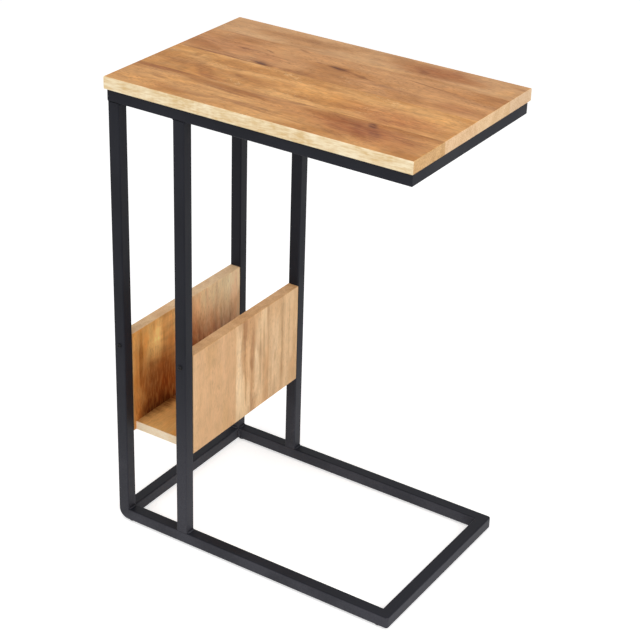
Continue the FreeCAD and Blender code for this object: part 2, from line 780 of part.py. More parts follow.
along_x = Vector(1, 0, 0)
up = Vector(0, 0, 1)
post_beads = []
base_beads = []
top_beads = []
tab_run = value("Dims.tab_length")
tab_starts = (value("Dims.tab_inset"), length - value("Dims.tab_inset") - tab_run)
tab_underside = value("Dims.frame_height") - value("Dims.tab_thickness")
for sense in (-1, 1):
    inwards = Vector(0, -sense, 0)
    outer_y = sense * half_depth
    inner_y = outer_y - sense * tube
    cross_start = outer_y - sense * flat_start
    cross_run = inwards * flat_run

    # foot and head of the inner post, on its left and right faces
    for x, away in ((inner_left, -along_x), (inner_right, along_x)):
        post_beads.append(bead(Vector(x, cross_start, tube), cross_run, away, up))
        post_beads.append(bead(Vector(x, cross_start, post_top), cross_run, away, -up))

    # inside the leg's fold; left base rail: on its top face and its inner side; right
    # base rail: in the mitre's corner
    base_beads.append(bead(Vector(tube, cross_start, tube), cross_run, along_x, up))
    base_beads.append(bead(Vector(flat_start, inner_y, tube), along_x * flat_run, inwards, up))
    base_beads.append(bead(Vector(tube, inner_y, flat_start), up * flat_run, along_x, inwards))
    base_beads.append(bead(Vector(length - tube, inner_y, flat_start), up * flat_run, -along_x, inwards))

    # head of the outer post, under both top rails that meet there
    top_beads.append(bead(Vector(tube, cross_start, post_top), cross_run, along_x, -up))
    top_beads.append(bead(Vector(flat_start, inner_y, post_top), along_x * flat_run, inwards, -up))

    # inner corners of the top frame
    for x, away in ((tube, along_x), (length - tube, -along_x)):
        corner = Vector(x, inner_y, post_top + flat_start)
        top_beads.append(bead(corner, up * flat_run, away, inwards))

    # undersides of the tabs
    for x in tab_starts:
        top_beads.append(bead(Vector(x, inner_y, tab_underside), along_x * tab_run, inwards, -up))

weld_group("inner_post_welds", post_beads)
weld_group("base_welds", base_beads)
weld_group("top_frame_welds", top_beads)

# ---------------------------------------------------------------------------
# Checks and export
# ---------------------------------------------------------------------------

doc.recompute()
for item in doc.Objects:
    if "Invalid" in item.State or "Error" in item.State:
        raise RuntimeError(f"{item.Label}: {item.State}")

os.makedirs("parts", exist_ok=True)
sub_parts = [item for item in doc.Objects if item.TypeId in ("PartDesign::Body", "Part::Feature")]
for item in sub_parts:
    if item.Shape.isNull() or not item.Shape.isValid():
        raise RuntimeError(f"{item.Label} has no valid shape")
for item in sub_parts:
    item.Shape.exportStep(f"parts/{item.Label}.step")
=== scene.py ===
import math

import bmesh
import bpy
from mathutils import Matrix, Vector


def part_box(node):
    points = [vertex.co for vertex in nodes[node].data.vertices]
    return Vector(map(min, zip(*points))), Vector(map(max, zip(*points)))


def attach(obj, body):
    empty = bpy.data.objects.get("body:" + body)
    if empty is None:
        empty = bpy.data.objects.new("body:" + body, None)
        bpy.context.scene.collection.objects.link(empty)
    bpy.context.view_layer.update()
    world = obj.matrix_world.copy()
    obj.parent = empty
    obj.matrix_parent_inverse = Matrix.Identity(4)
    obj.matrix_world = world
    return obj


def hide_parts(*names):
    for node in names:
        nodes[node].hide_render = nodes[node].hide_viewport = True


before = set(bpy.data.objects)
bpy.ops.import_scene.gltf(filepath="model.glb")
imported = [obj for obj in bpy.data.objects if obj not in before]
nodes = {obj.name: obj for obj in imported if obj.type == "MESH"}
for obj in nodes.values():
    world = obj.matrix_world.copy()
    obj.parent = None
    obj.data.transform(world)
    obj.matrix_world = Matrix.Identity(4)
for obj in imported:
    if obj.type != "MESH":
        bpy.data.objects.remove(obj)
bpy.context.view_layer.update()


# ---------------------------------------------------------------------------
# Frame of square steel tube, with the tabs that hold the top
# The tubes are cut, folded, mitred and welded, the seams ground where they show,
# and the whole frame is powder-coated black in one piece, semi-gloss.

FRAME_TUBES = [
    "front_leg", "back_leg", "front_inner_post", "back_inner_post", "base_rail_left", "base_rail_right",
    "top_rail_front", "top_rail_back", "top_rail_left", "top_rail_right",
]
TABS = ["top_tab_front_left", "top_tab_front_right", "top_tab_back_left", "top_tab_back_right"]
COAT_PEEL_SIZE = 1 / 0.0016
COAT_CLOUD_SIZE = 14.0
FLOOR_BOUNCE_TOP = 0.3


def linear(red, green, blue):
    """A colour picked on a screen, from 0 to 255, as the shaders want it."""
    def channel(value):
        share = value / 255
        return share / 12.92 if share <= 0.04045 else ((share + 0.055) / 1.055) ** 2.4
    return channel(red), channel(green), channel(blue), 1.0


def put(tree, kind, settings=None, **inputs):
    """A node with its settings and inputs: a value or another node's output, by name or by _number."""
    node = tree.nodes.new(kind)
    for name, value in (settings or {}).items():
        setattr(node, name, value)
    for name, value in inputs.items():
        socket = node.inputs[int(name[1:])] if name[0] == "_" else node.inputs[name.replace("_", " ")]
        if isinstance(value, bpy.types.NodeSocket):
            tree.links.new(value, socket)
        else:
            socket.default_value = value
    return node


def calc(tree, operation, *values):
    inputs = {f"_{number}": value for number, value in enumerate(values)}
    return put(tree, "ShaderNodeMath", {"operation": operation}, **inputs).outputs[0]


def vector_calc(tree, operation, *values):
    inputs = {f"_{number}": value for number, value in enumerate(values)}
    return put(tree, "ShaderNodeVectorMath", {"operation": operation}, **inputs)


def ramp(tree, value, start, end, low=0.0, high=1.0):
    """The value eased from low at start to high at end, and held beyond them."""
    return put(tree, "ShaderNodeMapRange", {"interpolation_type": "SMOOTHSTEP"}, Value=value,
               From_Min=start, From_Max=end, To_Min=low, To_Max=high).outputs[0]


def mix(tree, share, first, second, way="MIX"):
    return put(tree, "ShaderNodeMix", {"data_type": "RGBA", "blend_type": way},
               _0=share, _6=first, _7=second).outputs[2]


def cloud(tree, place, stretch, detail=2.0):
    """Noise with that many lumps to a metre along each axis."""
    stretched = vector_calc(tree, "MULTIPLY", place, stretch).outputs[0]
    return put(tree, "ShaderNodeTexNoise", Vector=stretched, Scale=1.0, Detail=detail).outputs[0]


def new_effect(name, inputs, outputs):
    """An empty shader group with named sockets, and its two ends."""
    kinds = {"value": "NodeSocketFloat", "vector": "NodeSocketVector", "colour": "NodeSocketColor"}
    tree = bpy.data.node_groups.new(name, "ShaderNodeTree")
    for socket, kind in inputs.items():
        tree.interface.new_socket(socket, in_out="INPUT", socket_type=kinds[kind])
    for socket, kind in outputs.items():
        tree.interface.new_socket(socket, in_out="OUTPUT", socket_type=kinds[kind])
    return tree, tree.nodes.new("NodeGroupInput").outputs, tree.nodes.new("NodeGroupOutput").inputs


def apply_effect(tree, effect, **inputs):
    return put(tree, "ShaderNodeGroup", {"node_tree": effect}, **inputs).outputs


def new_finish(name):
    """A material with its shader, and the place on the piece that its pattern reads."""
    material = bpy.data.materials.new(name)
    material.use_nodes = True
    tree = material.node_tree
    shader = next(node for node in tree.nodes if node.type == "BSDF_PRINCIPLED")
    place = tree.nodes.new("ShaderNodeTexCoord").outputs["Object"]
    return material, tree, shader, place


def raise_surface(tree, shader, height, depth, strength=1.0):
    """Bump of that depth in metres on the shader's normal."""
    bump = put(tree, "ShaderNodeBump", Height=height, Distance=depth, Strength=strength)
    tree.links.new(bump.outputs[0], shader.inputs["Normal"])


def dress(obj, material):
    obj.data.materials.clear()
    obj.data.materials.append(material)


# Fine grain and slow clouds, as every sprayed, moulded or plated surface has.
surface_grain, grain_in, grain_out = new_effect(
    "surface_grain",
    {"Vector": "vector", "Grain": "value", "Cloud": "value"},
    {"Height": "value", "Variation": "value"})
fine_grain = put(surface_grain, "ShaderNodeTexNoise", Vector=grain_in["Vector"], Scale=grain_in["Grain"],
                 Detail=2.0)
slow_cloud = put(surface_grain, "ShaderNodeTexNoise", Vector=grain_in["Vector"], Scale=grain_in["Cloud"],
                 Detail=4.0)
surface_grain.links.new(fine_grain.outputs[0], grain_out["Height"])
surface_grain.links.new(ramp(surface_grain, slow_cloud.outputs[0], 0.35, 0.65), grain_out["Variation"])

# painted light: the sides are painted paler grey towards the floor, as light bounced up from the white floor, in a
# fine speckle, and faces that look up keep the coat's own dark tone
black_coat, tree, shader, place = new_finish("black_coat")
grain = apply_effect(tree, surface_grain, Vector=place, Grain=COAT_PEEL_SIZE, Cloud=COAT_CLOUD_SIZE)
coat_tone = mix(tree, grain["Variation"], linear(27, 28, 34), linear(34, 35, 41))
height = put(tree, "ShaderNodeSeparateXYZ", Vector=place).outputs["Z"]
facing = tree.nodes.new("ShaderNodeNewGeometry").outputs["Normal"]
upwards = put(tree, "ShaderNodeSeparateXYZ", Vector=facing).outputs["Z"]
# painted floor light: fades out above the height it reaches and on faces that look up
floor_bounce = calc(tree, "MULTIPLY", ramp(tree, height, FLOOR_BOUNCE_TOP, 0.0), ramp(tree, grain["Variation"], 0.0, 1.0, 0.6, 1.0))
floor_bounce = calc(tree, "MULTIPLY", floor_bounce, ramp(tree, upwards, 0.3, 0.9, 1.0, 0.05))
floor_bounce = calc(tree, "MULTIPLY", floor_bounce, ramp(tree, grain["Height"], 0.28, 0.72, 0.8, 1.16))
tree.links.new(mix(tree, floor_bounce, coat_tone, linear(66, 66, 72)), shader.inputs["Base Color"])
tree.links.new(ramp(tree, grain["Variation"], 0.0, 1.0, 0.44, 0.56), shader.inputs["Roughness"])
shader.inputs["Specular IOR Level"].default_value = 0.1
raise_surface(tree, shader, grain["Height"], 0.00012, 0.35)

for name in FRAME_TUBES + TABS:
    dress(nodes[name], black_coat)


# ---------------------------------------------------------------------------
# Weld beads
# Short fillets of weld metal laid in the corners between two tubes, each with the
# overlapping ripples that the torch leaves, and coated black with the frame.

TUBE = 0.016
FLAT_START = 0.002
FLAT_RUN = TUBE - 2 * FLAT_START
BEAD_RADIUS = 0.0021
BEAD_LIFT = 0.0007
BEAD_RIPPLE = 0.0019
BEAD_RIPPLE_DEPTH = 0.2
BEAD_UNEVENNESS = 0.14
BEAD_STEP = 0.0003
BEAD_SIDES = 14


def new_shape_tree(name, inputs):
    """A Geometry Nodes tree with a geometry input and output, and named inputs."""
    shape = bpy.data.node_groups.new(name, "GeometryNodeTree")
    shape.interface.new_socket("Geometry", in_out="INPUT", socket_type="NodeSocketGeometry")
    for socket, kind in inputs.items():
        shape.interface.new_socket(socket, in_out="INPUT", socket_type=kind)
    shape.interface.new_socket("Geometry", in_out="OUTPUT", socket_type="NodeSocketGeometry")
    return shape, shape.nodes.new("NodeGroupInput").outputs, shape.nodes.new("NodeGroupOutput").inputs


def end_shape_tree(shape, geometry, material, result):
    real = put(shape, "GeometryNodeRealizeInstances", Geometry=geometry).outputs[0]
    painted = put(shape, "GeometryNodeSetMaterial", Geometry=real, Material=material).outputs[0]
    shape.links.new(painted, result["Geometry"])


def shaped(name, mesh, shape, settings):
    """A new object: the tree's result on that mesh, as a plain mesh with no modifier left."""
    obj = bpy.data.objects.new(name, mesh)
    bpy.context.scene.collection.objects.link(obj)
    modifier = obj.modifiers.new(name, "NODES")
    modifier.node_group = shape
    for socket in shape.interface.items_tree:
        if socket.in_out == "INPUT" and socket.name in settings:
            modifier[socket.identifier] = settings[socket.name]
    plain = bpy.data.meshes.new_from_object(obj.evaluated_get(bpy.context.evaluated_depsgraph_get()))
    obj.modifiers.clear()
    obj.data = plain
    return obj


laid_bead, bead_in, bead_out = new_shape_tree("laid_bead", {
    "Radius": "NodeSocketFloat", "Ripple": "NodeSocketFloat", "Ripple Depth": "NodeSocketFloat",
    "Unevenness": "NodeSocketFloat", "Step": "NodeSocketFloat", "Sides": "NodeSocketInt",
    "Seed": "NodeSocketFloat", "Material": "NodeSocketMaterial"})
bead_line = put(laid_bead, "GeometryNodeMeshToCurve", Mesh=bead_in["Geometry"]).outputs[0]
bead_line = put(laid_bead, "GeometryNodeResampleCurve", {"mode": "LENGTH"}, Curve=bead_line,
                Length=bead_in["Step"]).outputs[0]
along = laid_bead.nodes.new("GeometryNodeSplineParameter").outputs
whole = laid_bead.nodes.new("GeometryNodeSplineLength").outputs["Length"]
ripple_phase = calc(laid_bead, "FRACT", calc(laid_bead, "DIVIDE", along["Length"], bead_in["Ripple"]))
ripple_fall = calc(laid_bead, "MULTIPLY", calc(laid_bead, "POWER", ripple_phase, 2.0), bead_in["Ripple Depth"])
bead_place = laid_bead.nodes.new("GeometryNodeInputPosition").outputs[0]
bead_noise = put(laid_bead, "ShaderNodeTexNoise", {"noise_dimensions": "4D"}, Vector=bead_place,
                 W=bead_in["Seed"], Scale=330.0, Detail=1.0).outputs[0]
bead_sway = calc(laid_bead, "MULTIPLY", calc(laid_bead, "SUBTRACT", bead_noise, 0.5), bead_in["Unevenness"])
to_end = calc(laid_bead, "MINIMUM", along["Length"], calc(laid_bead, "SUBTRACT", whole, along["Length"]))
round_end = put(laid_bead, "ShaderNodeMapRange", {"interpolation_type": "SMOOTHERSTEP"}, Value=to_end,
                From_Min=-0.0006, From_Max=bead_in["Radius"], To_Min=0.25, To_Max=1.0).outputs[0]
bead_size = calc(laid_bead, "ADD", calc(laid_bead, "SUBTRACT", 1.0, ripple_fall), bead_sway)
bead_size = calc(laid_bead, "MULTIPLY", bead_size, round_end)
bead_ring = put(laid_bead, "GeometryNodeCurvePrimitiveCircle", Resolution=bead_in["Sides"],
                Radius=bead_in["Radius"]).outputs[0]
bead_skin = put(laid_bead, "GeometryNodeCurveToMesh", Curve=bead_line, Profile_Curve=bead_ring,
                Scale=bead_size, Fill_Caps=True).outputs[0]
bead_skin = put(laid_bead, "GeometryNodeSetShadeSmooth", Geometry=bead_skin).outputs[0]
end_shape_tree(laid_bead, bead_skin, bead_in["Material"], bead_out)

X_WAY, Z_WAY = Vector((1, 0, 0)), Vector((0, 0, 1))
frame_low, frame_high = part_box("front_leg")
left, base = frame_low.x, frame_low.z
right, post_top = frame_high.x, frame_high.z
front = frame_low.y
inner_left, inner_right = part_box("front_inner_post")[0].x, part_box("front_inner_post")[1].x
tab_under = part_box(TABS[0])[0].z
tab_runs = [(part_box(name)[0].x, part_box(name)[1].x) for name in TABS[:2]]

# each bead: where it starts, its run, and the two ways that it leans out of the corner
post_beads, base_beads, top_beads = [], [], []
for outer, inwards in ((front, Vector((0, 1, 0))), (-front, Vector((0, -1, 0)))):
    inner = outer + inwards.y * TUBE
    flat = outer + inwards.y * FLAT_START
    across = inwards * FLAT_RUN
    for x, away in ((inner_left, -X_WAY), (inner_right, X_WAY)):
        post_beads.append((Vector((x, flat, base + TUBE)), across, away, Z_WAY))
        post_beads.append((Vector((x, flat, post_top)), across, away, -Z_WAY))
    base_beads.append((Vector((left + TUBE, flat, base + TUBE)), across, X_WAY, Z_WAY))
    base_beads.append((Vector((left + FLAT_START, inner, base + TUBE)), X_WAY * FLAT_RUN, inwards, Z_WAY))
    base_beads.append((Vector((left + TUBE, inner, base + FLAT_START)), Z_WAY * FLAT_RUN, X_WAY, inwards))
    base_beads.append((Vector((right - TUBE, inner, base + FLAT_START)), Z_WAY * FLAT_RUN, -X_WAY, inwards))
    top_beads.append((Vector((left + TUBE, flat, post_top)), across, X_WAY, -Z_WAY))
    top_beads.append((Vector((left + FLAT_START, inner, post_top)), X_WAY * FLAT_RUN, inwards, -Z_WAY))
    for x, away in ((left + TUBE, X_WAY), (right - TUBE, -X_WAY)):
        top_beads.append((Vector((x, inner, post_top + FLAT_START)), Z_WAY * FLAT_RUN, away, inwards))
    for start, end in tab_runs:
        top_beads.append((Vector((start, inner, tab_under)), X_WAY * (end - start), inwards, -Z_WAY))

for seed, (node, beads) in enumerate((("inner_post_welds", post_beads), ("base_welds", base_beads),
                                      ("top_frame_welds", top_beads))):
    points, edges = [], []
    for start, run, first_way, second_way in beads:
        lifted = start + (first_way + second_way) * BEAD_LIFT
        edges.append((len(points), len(points) + 1))
        points += [lifted, lifted + run]
    bead_lines = bpy.data.meshes.new(node + "_lines")
    bead_lines.from_pydata(points, edges, [])
    piece = shaped("rippled_" + node, bead_lines, laid_bead, {
        "Radius": BEAD_RADIUS, "Ripple": BEAD_RIPPLE, "Ripple Depth": BEAD_RIPPLE_DEPTH,
        "Unevenness": BEAD_UNEVENNESS, "Step": BEAD_STEP, "Sides": BEAD_SIDES, "Seed": float(seed),
        "Material": black_coat})
    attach(piece, "root")
    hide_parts(node)


# ---------------------------------------------------------------------------
# Ground corners at the open end of the base
# The mitres between the runners and the right rail are welded all round and then
# ground flush, which leaves both outer corners round and their arrises eased.

GROUND_TUBES = ["front_leg", "back_leg", "base_rail_right"]
GROUND_RADIUS = 0.0045
EASED_RADIUS = 0.0015
GROUND_REACH = 0.03
GRINDING_TURNS = [11.25 * (stroke + 0.5) for stroke in range(8)]
GRINDING_TILTS = [-60, -30, 0, 30, 60]
GRINDING_SLIVER = 0.00003
SMOOTH_ANGLE = 35
TOUCHING = 1e-7


def finished(name, work):
    """The bmesh as a smooth-shaded object at the origin."""
    mesh = bpy.data.meshes.new(name)
    work.to_mesh(mesh)
    work.free()
    for face in mesh.polygons:
        face.use_smooth = True
    obj = bpy.data.objects.new(name, mesh)
    bpy.context.scene.collection.objects.link(obj)
    return obj


def grind(work, touch, outwards):
    """Take off what stands past a plane at the open end of the base, and close the cut."""
    limit = right - GROUND_REACH - TOUCHING
    vertices = [vertex for vertex in work.verts if vertex.co.x > limit]
    if max((vertex.co - touch).dot(outwards) for vertex in vertices) < TOUCHING:
        return
    edges = [edge for edge in work.edges if all(vertex.co.x > limit for vertex in edge.verts)]
    faces = [face for face in work.faces if all(vertex.co.x > limit for vertex in face.verts)]
    cut = bmesh.ops.bisect_plane(work, geom=vertices + edges + faces, dist=TOUCHING, plane_co=touch,
                                 plane_no=outwards, clear_outer=True)["geom_cut"]
    bmesh.ops.holes_fill(work, edges=[item for item in cut if isinstance(item, bmesh.types.BMEdge)])


for node in GROUND_TUBES:
    tube_mesh = nodes[node].data
    work = bmesh.new()
    vertices = [work.verts.new(vertex.co) for vertex in tube_mesh.vertices]
    for face in tube_mesh.polygons:
        work.faces.new([vertices[number] for number in face.vertices])
    bmesh.ops.remove_doubles(work, verts=work.verts, dist=TOUCHING)
    bmesh.ops.bisect_plane(work, geom=work.verts[:] + work.edges[:] + work.faces[:], dist=TOUCHING,
                           plane_co=(right - GROUND_REACH, 0, 0), plane_no=X_WAY)
    for side in (-1, 1):
        middle = Vector((right - GROUND_RADIUS, side * (-front - GROUND_RADIUS), base + TUBE / 2))
        for turn in GRINDING_TURNS:
            level_way = Vector((math.cos(math.radians(turn)), side * math.sin(math.radians(turn)), 0))
            for tilt in GRINDING_TILTS:
                outwards = level_way * math.cos(math.radians(tilt)) + Z_WAY * math.sin(math.radians(tilt))
                rise = Z_WAY * math.copysign(TUBE / 2 - EASED_RADIUS, tilt)
                eased = middle + level_way * (GROUND_RADIUS - EASED_RADIUS) + rise
                grind(work, eased + outwards * EASED_RADIUS, outwards)
    bmesh.ops.remove_doubles(work, verts=work.verts, dist=GRINDING_SLIVER)
    piece = finished("ground_" + node, work)
    piece.data.set_sharp_from_angle(angle=math.radians(SMOOTH_ANGLE))
    piece.modifiers.new("flat_walls", "WEIGHTED_NORMAL").keep_sharp = True
    piece.data = bpy.data.meshes.new_from_object(piece.evaluated_get(bpy.context.evaluated_depsgraph_get()))
    piece.modifiers.clear()
    dress(piece, black_coat)
    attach(piece, "root")
    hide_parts(node)


# ---------------------------------------------------------------------------
# Glides under the four corners
# Turned polyethylene pads with a rounded rim and a barbed stem, pressed into holes
# in the undersides of the runners.

GLIDE_RIM = 0.0009
GLIDE_DISH = 0.0003
GLIDE_STEPS = 48


def turned(profile, steps):
    """A mesh turned round Z from points of (radius, height), its poles closed."""
    work = bmesh.new()
    rings = []
    for radius, height in profile:
        if radius == 0:
            rings.append([work.verts.new((0, 0, height))])
            continue
        angles = [2 * math.pi * step / steps for step in range(steps)]
        rings.append([work.verts.new((radius * math.cos(a), radius * math.sin(a), height)) for a in angles])
    for lower, upper in zip(rings, rings[1:]):
        for step in range(steps):
            after = (step + 1) % steps
            if len(lower) == 1:
                work.faces.new((lower[0], upper[after], upper[step]))
            elif len(upper) == 1:
                work.faces.new((lower[step], lower[after], upper[0]))
            else:
                work.faces.new((lower[step], lower[after], upper[after], upper[step]))
    bmesh.ops.recalc_face_normals(work, faces=work.faces)
    return work


def quarter(centre_radius, centre_height, radius, start, end, steps=6):
    """Points of an arc in a profile, from one angle to the other in degrees."""
    points = []
    for step in range(steps + 1):
        angle = math.radians(start + (end - start) * step / steps)
        points.append((centre_radius + radius * math.cos(angle), centre_height + radius * math.sin(angle)))
    return points


glide_plastic, tree, shader, place = new_finish("glide_plastic")
grain = apply_effect(tree, surface_grain, Vector=place, Grain=2600.0, Cloud=160.0)
tree.links.new(mix(tree, grain["Variation"], linear(24, 24, 25), linear(36, 36, 37)), shader.inputs["Base Color"])
tree.links.new(ramp(tree, grain["Variation"], 0.0, 1.0, 0.55, 0.7), shader.inputs["Roughness"])
raise_surface(tree, shader, grain["Height"], 0.00006, 0.5)

for end in ("front_left", "front_right", "back_left", "back_right"):
    low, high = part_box("glide_" + end)
    disc = (high.x - low.x) / 2
    pad_top = base
    stem = disc / 2
    profile = [(0, GLIDE_DISH), (disc * 0.3, GLIDE_DISH), (disc * 0.42, 0)]
    profile += quarter(disc - GLIDE_RIM, GLIDE_RIM, GLIDE_RIM, -90, 0)
    profile += quarter(disc - GLIDE_RIM / 2, pad_top - GLIDE_RIM / 2, GLIDE_RIM / 2, 0, 90, 3)
    profile += [(stem, pad_top)]
    for barb in range(3):
        foot = pad_top + 0.0012 + barb * 0.0018
        profile += [(stem - 0.0004, foot), (stem, foot + 0.0002), (stem - 0.0005, foot + 0.0015)]
    profile += [(stem - 0.0008, high.z), (0, high.z)]
    work = turned(profile, GLIDE_STEPS)
    bmesh.ops.translate(work, verts=work.verts, vec=((low.x + high.x) / 2, (low.y + high.y) / 2, 0))
    piece = finished("turned_glide_" + end, work)
    piece.data.materials.append(glide_plastic)
    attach(piece, "root")
    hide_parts("glide_" + end)


# ---------------------------------------------------------------------------
# Table top of four glued boards
# Solid hardwood with its grain along the table, planed and sanded flush, the outer
# arrises eased by hand, finished with a clear satin lacquer.

# Growth rings, stripes, fibres, curl and pores of a plank whose grain runs along X and
# whose pith lies on the X axis. A knot lifts the rings round its place.
plank, plank_in, plank_out = new_effect(
    "plank",
    {"Vector": "vector", "Light": "colour", "Body": "colour", "Dark": "colour", "Ring Width": "value",
     "Ring Strength": "value", "Wander": "value", "Stripes": "value", "Mottle": "value", "Curl": "value",
     "Flecks": "value", "Fibre": "value", "Pores": "value", "Knot": "vector", "Knot Reach": "vector",
     "Knot Lift": "value"},
    {"Color": "colour", "Figure": "value", "Roughness": "value", "Height": "value"})
grown = plank_in["Vector"]
sway = calc(plank, "SUBTRACT", cloud(plank, grown, (3.5, 13.0, 13.0), 3.0), 0.5)
sway = calc(plank, "MULTIPLY", sway, plank_in["Wander"])
from_knot = vector_calc(plank, "SUBTRACT", grown, plank_in["Knot"]).outputs[0]
from_knot = vector_calc(plank, "DIVIDE", from_knot, plank_in["Knot Reach"]).outputs[0]
knot_square = vector_calc(plank, "DOT_PRODUCT", from_knot, from_knot).outputs[1]
knot_bulge = calc(plank, "EXPONENT", calc(plank, "MULTIPLY", knot_square, -1.0))
lift = calc(plank, "MULTIPLY", knot_bulge, plank_in["Knot Lift"])
round_pith = vector_calc(plank, "MULTIPLY", grown, (0.0, 1.0, 1.0)).outputs[0]
radius = vector_calc(plank, "LENGTH", round_pith).outputs[1]
radius = calc(plank, "ADD", calc(plank, "ADD", radius, sway), lift)
ring_count = calc(plank, "DIVIDE", radius, plank_in["Ring Width"])
in_ring = calc(plank, "FRACT", ring_count)
late_wood = calc(plank, "MULTIPLY", ramp(plank, in_ring, 0.3, 0.9), ramp(plank, in_ring, 0.9, 1.0, 1.0, 0.0))
ring_tone = put(plank, "ShaderNodeTexNoise", {"noise_dimensions": "1D"}, W=ring_count, Scale=0.55,
                Detail=2.5).outputs[0]
ring_tone = ramp(plank, ring_tone, 0.42, 0.66)
ring_share = calc(plank, "ADD", calc(plank, "MULTIPLY", late_wood, 0.35), calc(plank, "MULTIPLY", ring_tone, 0.65))
ring_share = calc(plank, "MULTIPLY", ring_share, plank_in["Ring Strength"])
striped = put(plank, "ShaderNodeCombineXYZ", X=0.0, Y=sway, Z=sway).outputs[0]
striped = vector_calc(plank, "ADD", grown, striped).outputs[0]
slow_tone = ramp(plank, cloud(plank, striped, (8.0, 30.0, 30.0), 5.0), 0.38, 0.62)
stripe_share = ramp(plank, cloud(plank, striped, (7.0, 75.0, 75.0), 5.0), 0.5, 0.68)
stripe_share = calc(plank, "MULTIPLY", stripe_share, plank_in["Stripes"])
fibre = cloud(plank, grown, (90.0, 560.0, 560.0), 3.0)
mottle = calc(plank, "SUBTRACT", cloud(plank, striped, (45.0, 90.0, 90.0), 6.0), 0.5)
mottle = calc(plank, "MULTIPLY", mottle, plank_in["Mottle"])
curl_wave = calc(plank, "SUBTRACT", cloud(plank, grown, (120.0, 26.0, 26.0), 2.0), 0.5)
curl_here = ramp(plank, cloud(plank, grown, (9.0, 18.0, 18.0), 1.0), 0.42, 0.6)
curl_wave = calc(plank, "MULTIPLY", calc(plank, "MULTIPLY", curl_wave, curl_here), plank_in["Curl"])
fleck_line = calc(plank, "ABSOLUTE", calc(plank, "SUBTRACT", cloud(plank, grown, (75.0, 170.0, 170.0), 2.0), 0.5))
fleck_here = ramp(plank, cloud(plank, striped, (14.0, 34.0, 34.0), 2.0), 0.5, 0.64)
fleck = calc(plank, "MULTIPLY", ramp(plank, fleck_line, 0.0, 0.026, 1.0, 0.0), fleck_here)
fleck = calc(plank, "MULTIPLY", fleck, plank_in["Flecks"])
pore_cells = vector_calc(plank, "MULTIPLY", grown, (120.0, 760.0, 760.0)).outputs[0]
pore_field = put(plank, "ShaderNodeTexVoronoi", Vector=pore_cells, Scale=1.0).outputs
pore = ramp(plank, pore_field["Distance"], 0.12, 0.38, 1.0, 0.0)
pore_here = ramp(plank, cloud(plank, grown, (12.0, 70.0, 70.0), 3.0), 0.38, 0.6)
pore = calc(plank, "MULTIPLY", pore, pore_here)
tone = mix(plank, slow_tone, plank_in["Light"], plank_in["Body"])
tone = mix(plank, ring_share, tone, plank_in["Dark"])
tone = mix(plank, stripe_share, tone, plank_in["Dark"])
shimmer = calc(plank, "MULTIPLY", ramp(plank, fibre, 0.3, 0.7, -0.5, 0.5), plank_in["Fibre"])
shimmer = calc(plank, "ADD", calc(plank, "ADD", shimmer, 1.0), curl_wave)
shimmer = calc(plank, "ADD", shimmer, mottle)
tone = vector_calc(plank, "SCALE", tone)
plank.links.new(shimmer, tone.inputs["Scale"])
tone = mix(plank, fleck, tone.outputs[0], linear(244, 210, 156))
pore_tone = mix(plank, 0.4, plank_in["Dark"], linear(45, 22, 10))
pore_share = calc(plank, "MULTIPLY", pore, plank_in["Pores"])
plank.links.new(mix(plank, pore_share, tone, pore_tone), plank_out["Color"])
figure_share = calc(plank, "ADD", ramp(plank, shimmer, 1.3, 0.7), calc(plank, "MULTIPLY", ring_share, 0.6))
plank.links.new(calc(plank, "ADD", figure_share, calc(plank, "MULTIPLY", pore_share, 0.6)), plank_out["Figure"])
sheen = calc(plank, "ADD", ramp(plank, slow_tone, 0.0, 1.0, 0.44, 0.52), calc(plank, "MULTIPLY", pore_share, 0.2))
plank.links.new(sheen, plank_out["Roughness"])
relief = calc(plank, "SUBTRACT", calc(plank, "MULTIPLY", fibre, 0.5), pore_share)
plank.links.new(calc(plank, "SUBTRACT", relief, calc(plank, "MULTIPLY", late_wood, 0.12)), plank_out["Height"])

# A place moved a little, so that what is laid on it gets a ragged edge, and the streaks that break it up.
ragged, ragged_in, ragged_out = new_effect(
    "ragged_edge", {"Vector": "vector", "Lumps": "vector", "Shift": "vector"},
    {"Vector": "vector", "Streaks": "value"})
ragged_cells = vector_calc(ragged, "MULTIPLY", ragged_in["Vector"], ragged_in["Lumps"]).outputs[0]
ragged_noise = put(ragged, "ShaderNodeTexNoise", Vector=ragged_cells, Scale=1.0, Detail=5.0).outputs["Color"]
ragged_shift = vector_calc(ragged, "SUBTRACT", ragged_noise, (0.5, 0.5, 0.5)).outputs[0]
ragged_shift = vector_calc(ragged, "MULTIPLY", ragged_shift, ragged_in["Shift"]).outputs[0]
ragged.links.new(vector_calc(ragged, "ADD", ragged_in["Vector"], ragged_shift).outputs[0], ragged_out["Vector"])
ragged_streaks = cloud(ragged, ragged_cells, (2.2, 2.8, 2.8), 3.0)
ragged.links.new(ramp(ragged, ragged_streaks, 0.38, 0.6, 0.65, 1.0), ragged_out["Streaks"])

# An oval mark in the wood: a knot, a streak or a paler band.
stain, stain_in, stain_out = new_effect(
    "stain", {"Vector": "vector", "Place": "vector", "Lean": "vector", "Reach": "vector", "Core": "value"},
    {"Mask": "value"})
stain_place = put(stain, "ShaderNodeMapping", {"vector_type": "TEXTURE"}, Vector=stain_in["Vector"],
                  Location=stain_in["Place"], Rotation=stain_in["Lean"], Scale=stain_in["Reach"]).outputs[0]
stain_distance = vector_calc(stain, "LENGTH", stain_place).outputs[1]
stain.links.new(ramp(stain, stain_distance, stain_in["Core"], 1.0, 1.0, 0.0), stain_out["Mask"])

# A sawn face: what lies beyond a distance along one way.
sawn_face, sawn_in, sawn_out = new_effect(
    "sawn_face", {"Vector": "vector", "Way": "vector", "Distance": "value"}, {"Mask": "value"})
sawn_reach = vector_calc(sawn_face, "DOT_PRODUCT", sawn_in["Vector"], sawn_in["Way"]).outputs[1]
sawn_past = calc(sawn_face, "SUBTRACT", sawn_reach, sawn_in["Distance"])
sawn_face.links.new(ramp(sawn_face, sawn_past, 0.0, 0.0006), sawn_out["Mask"])

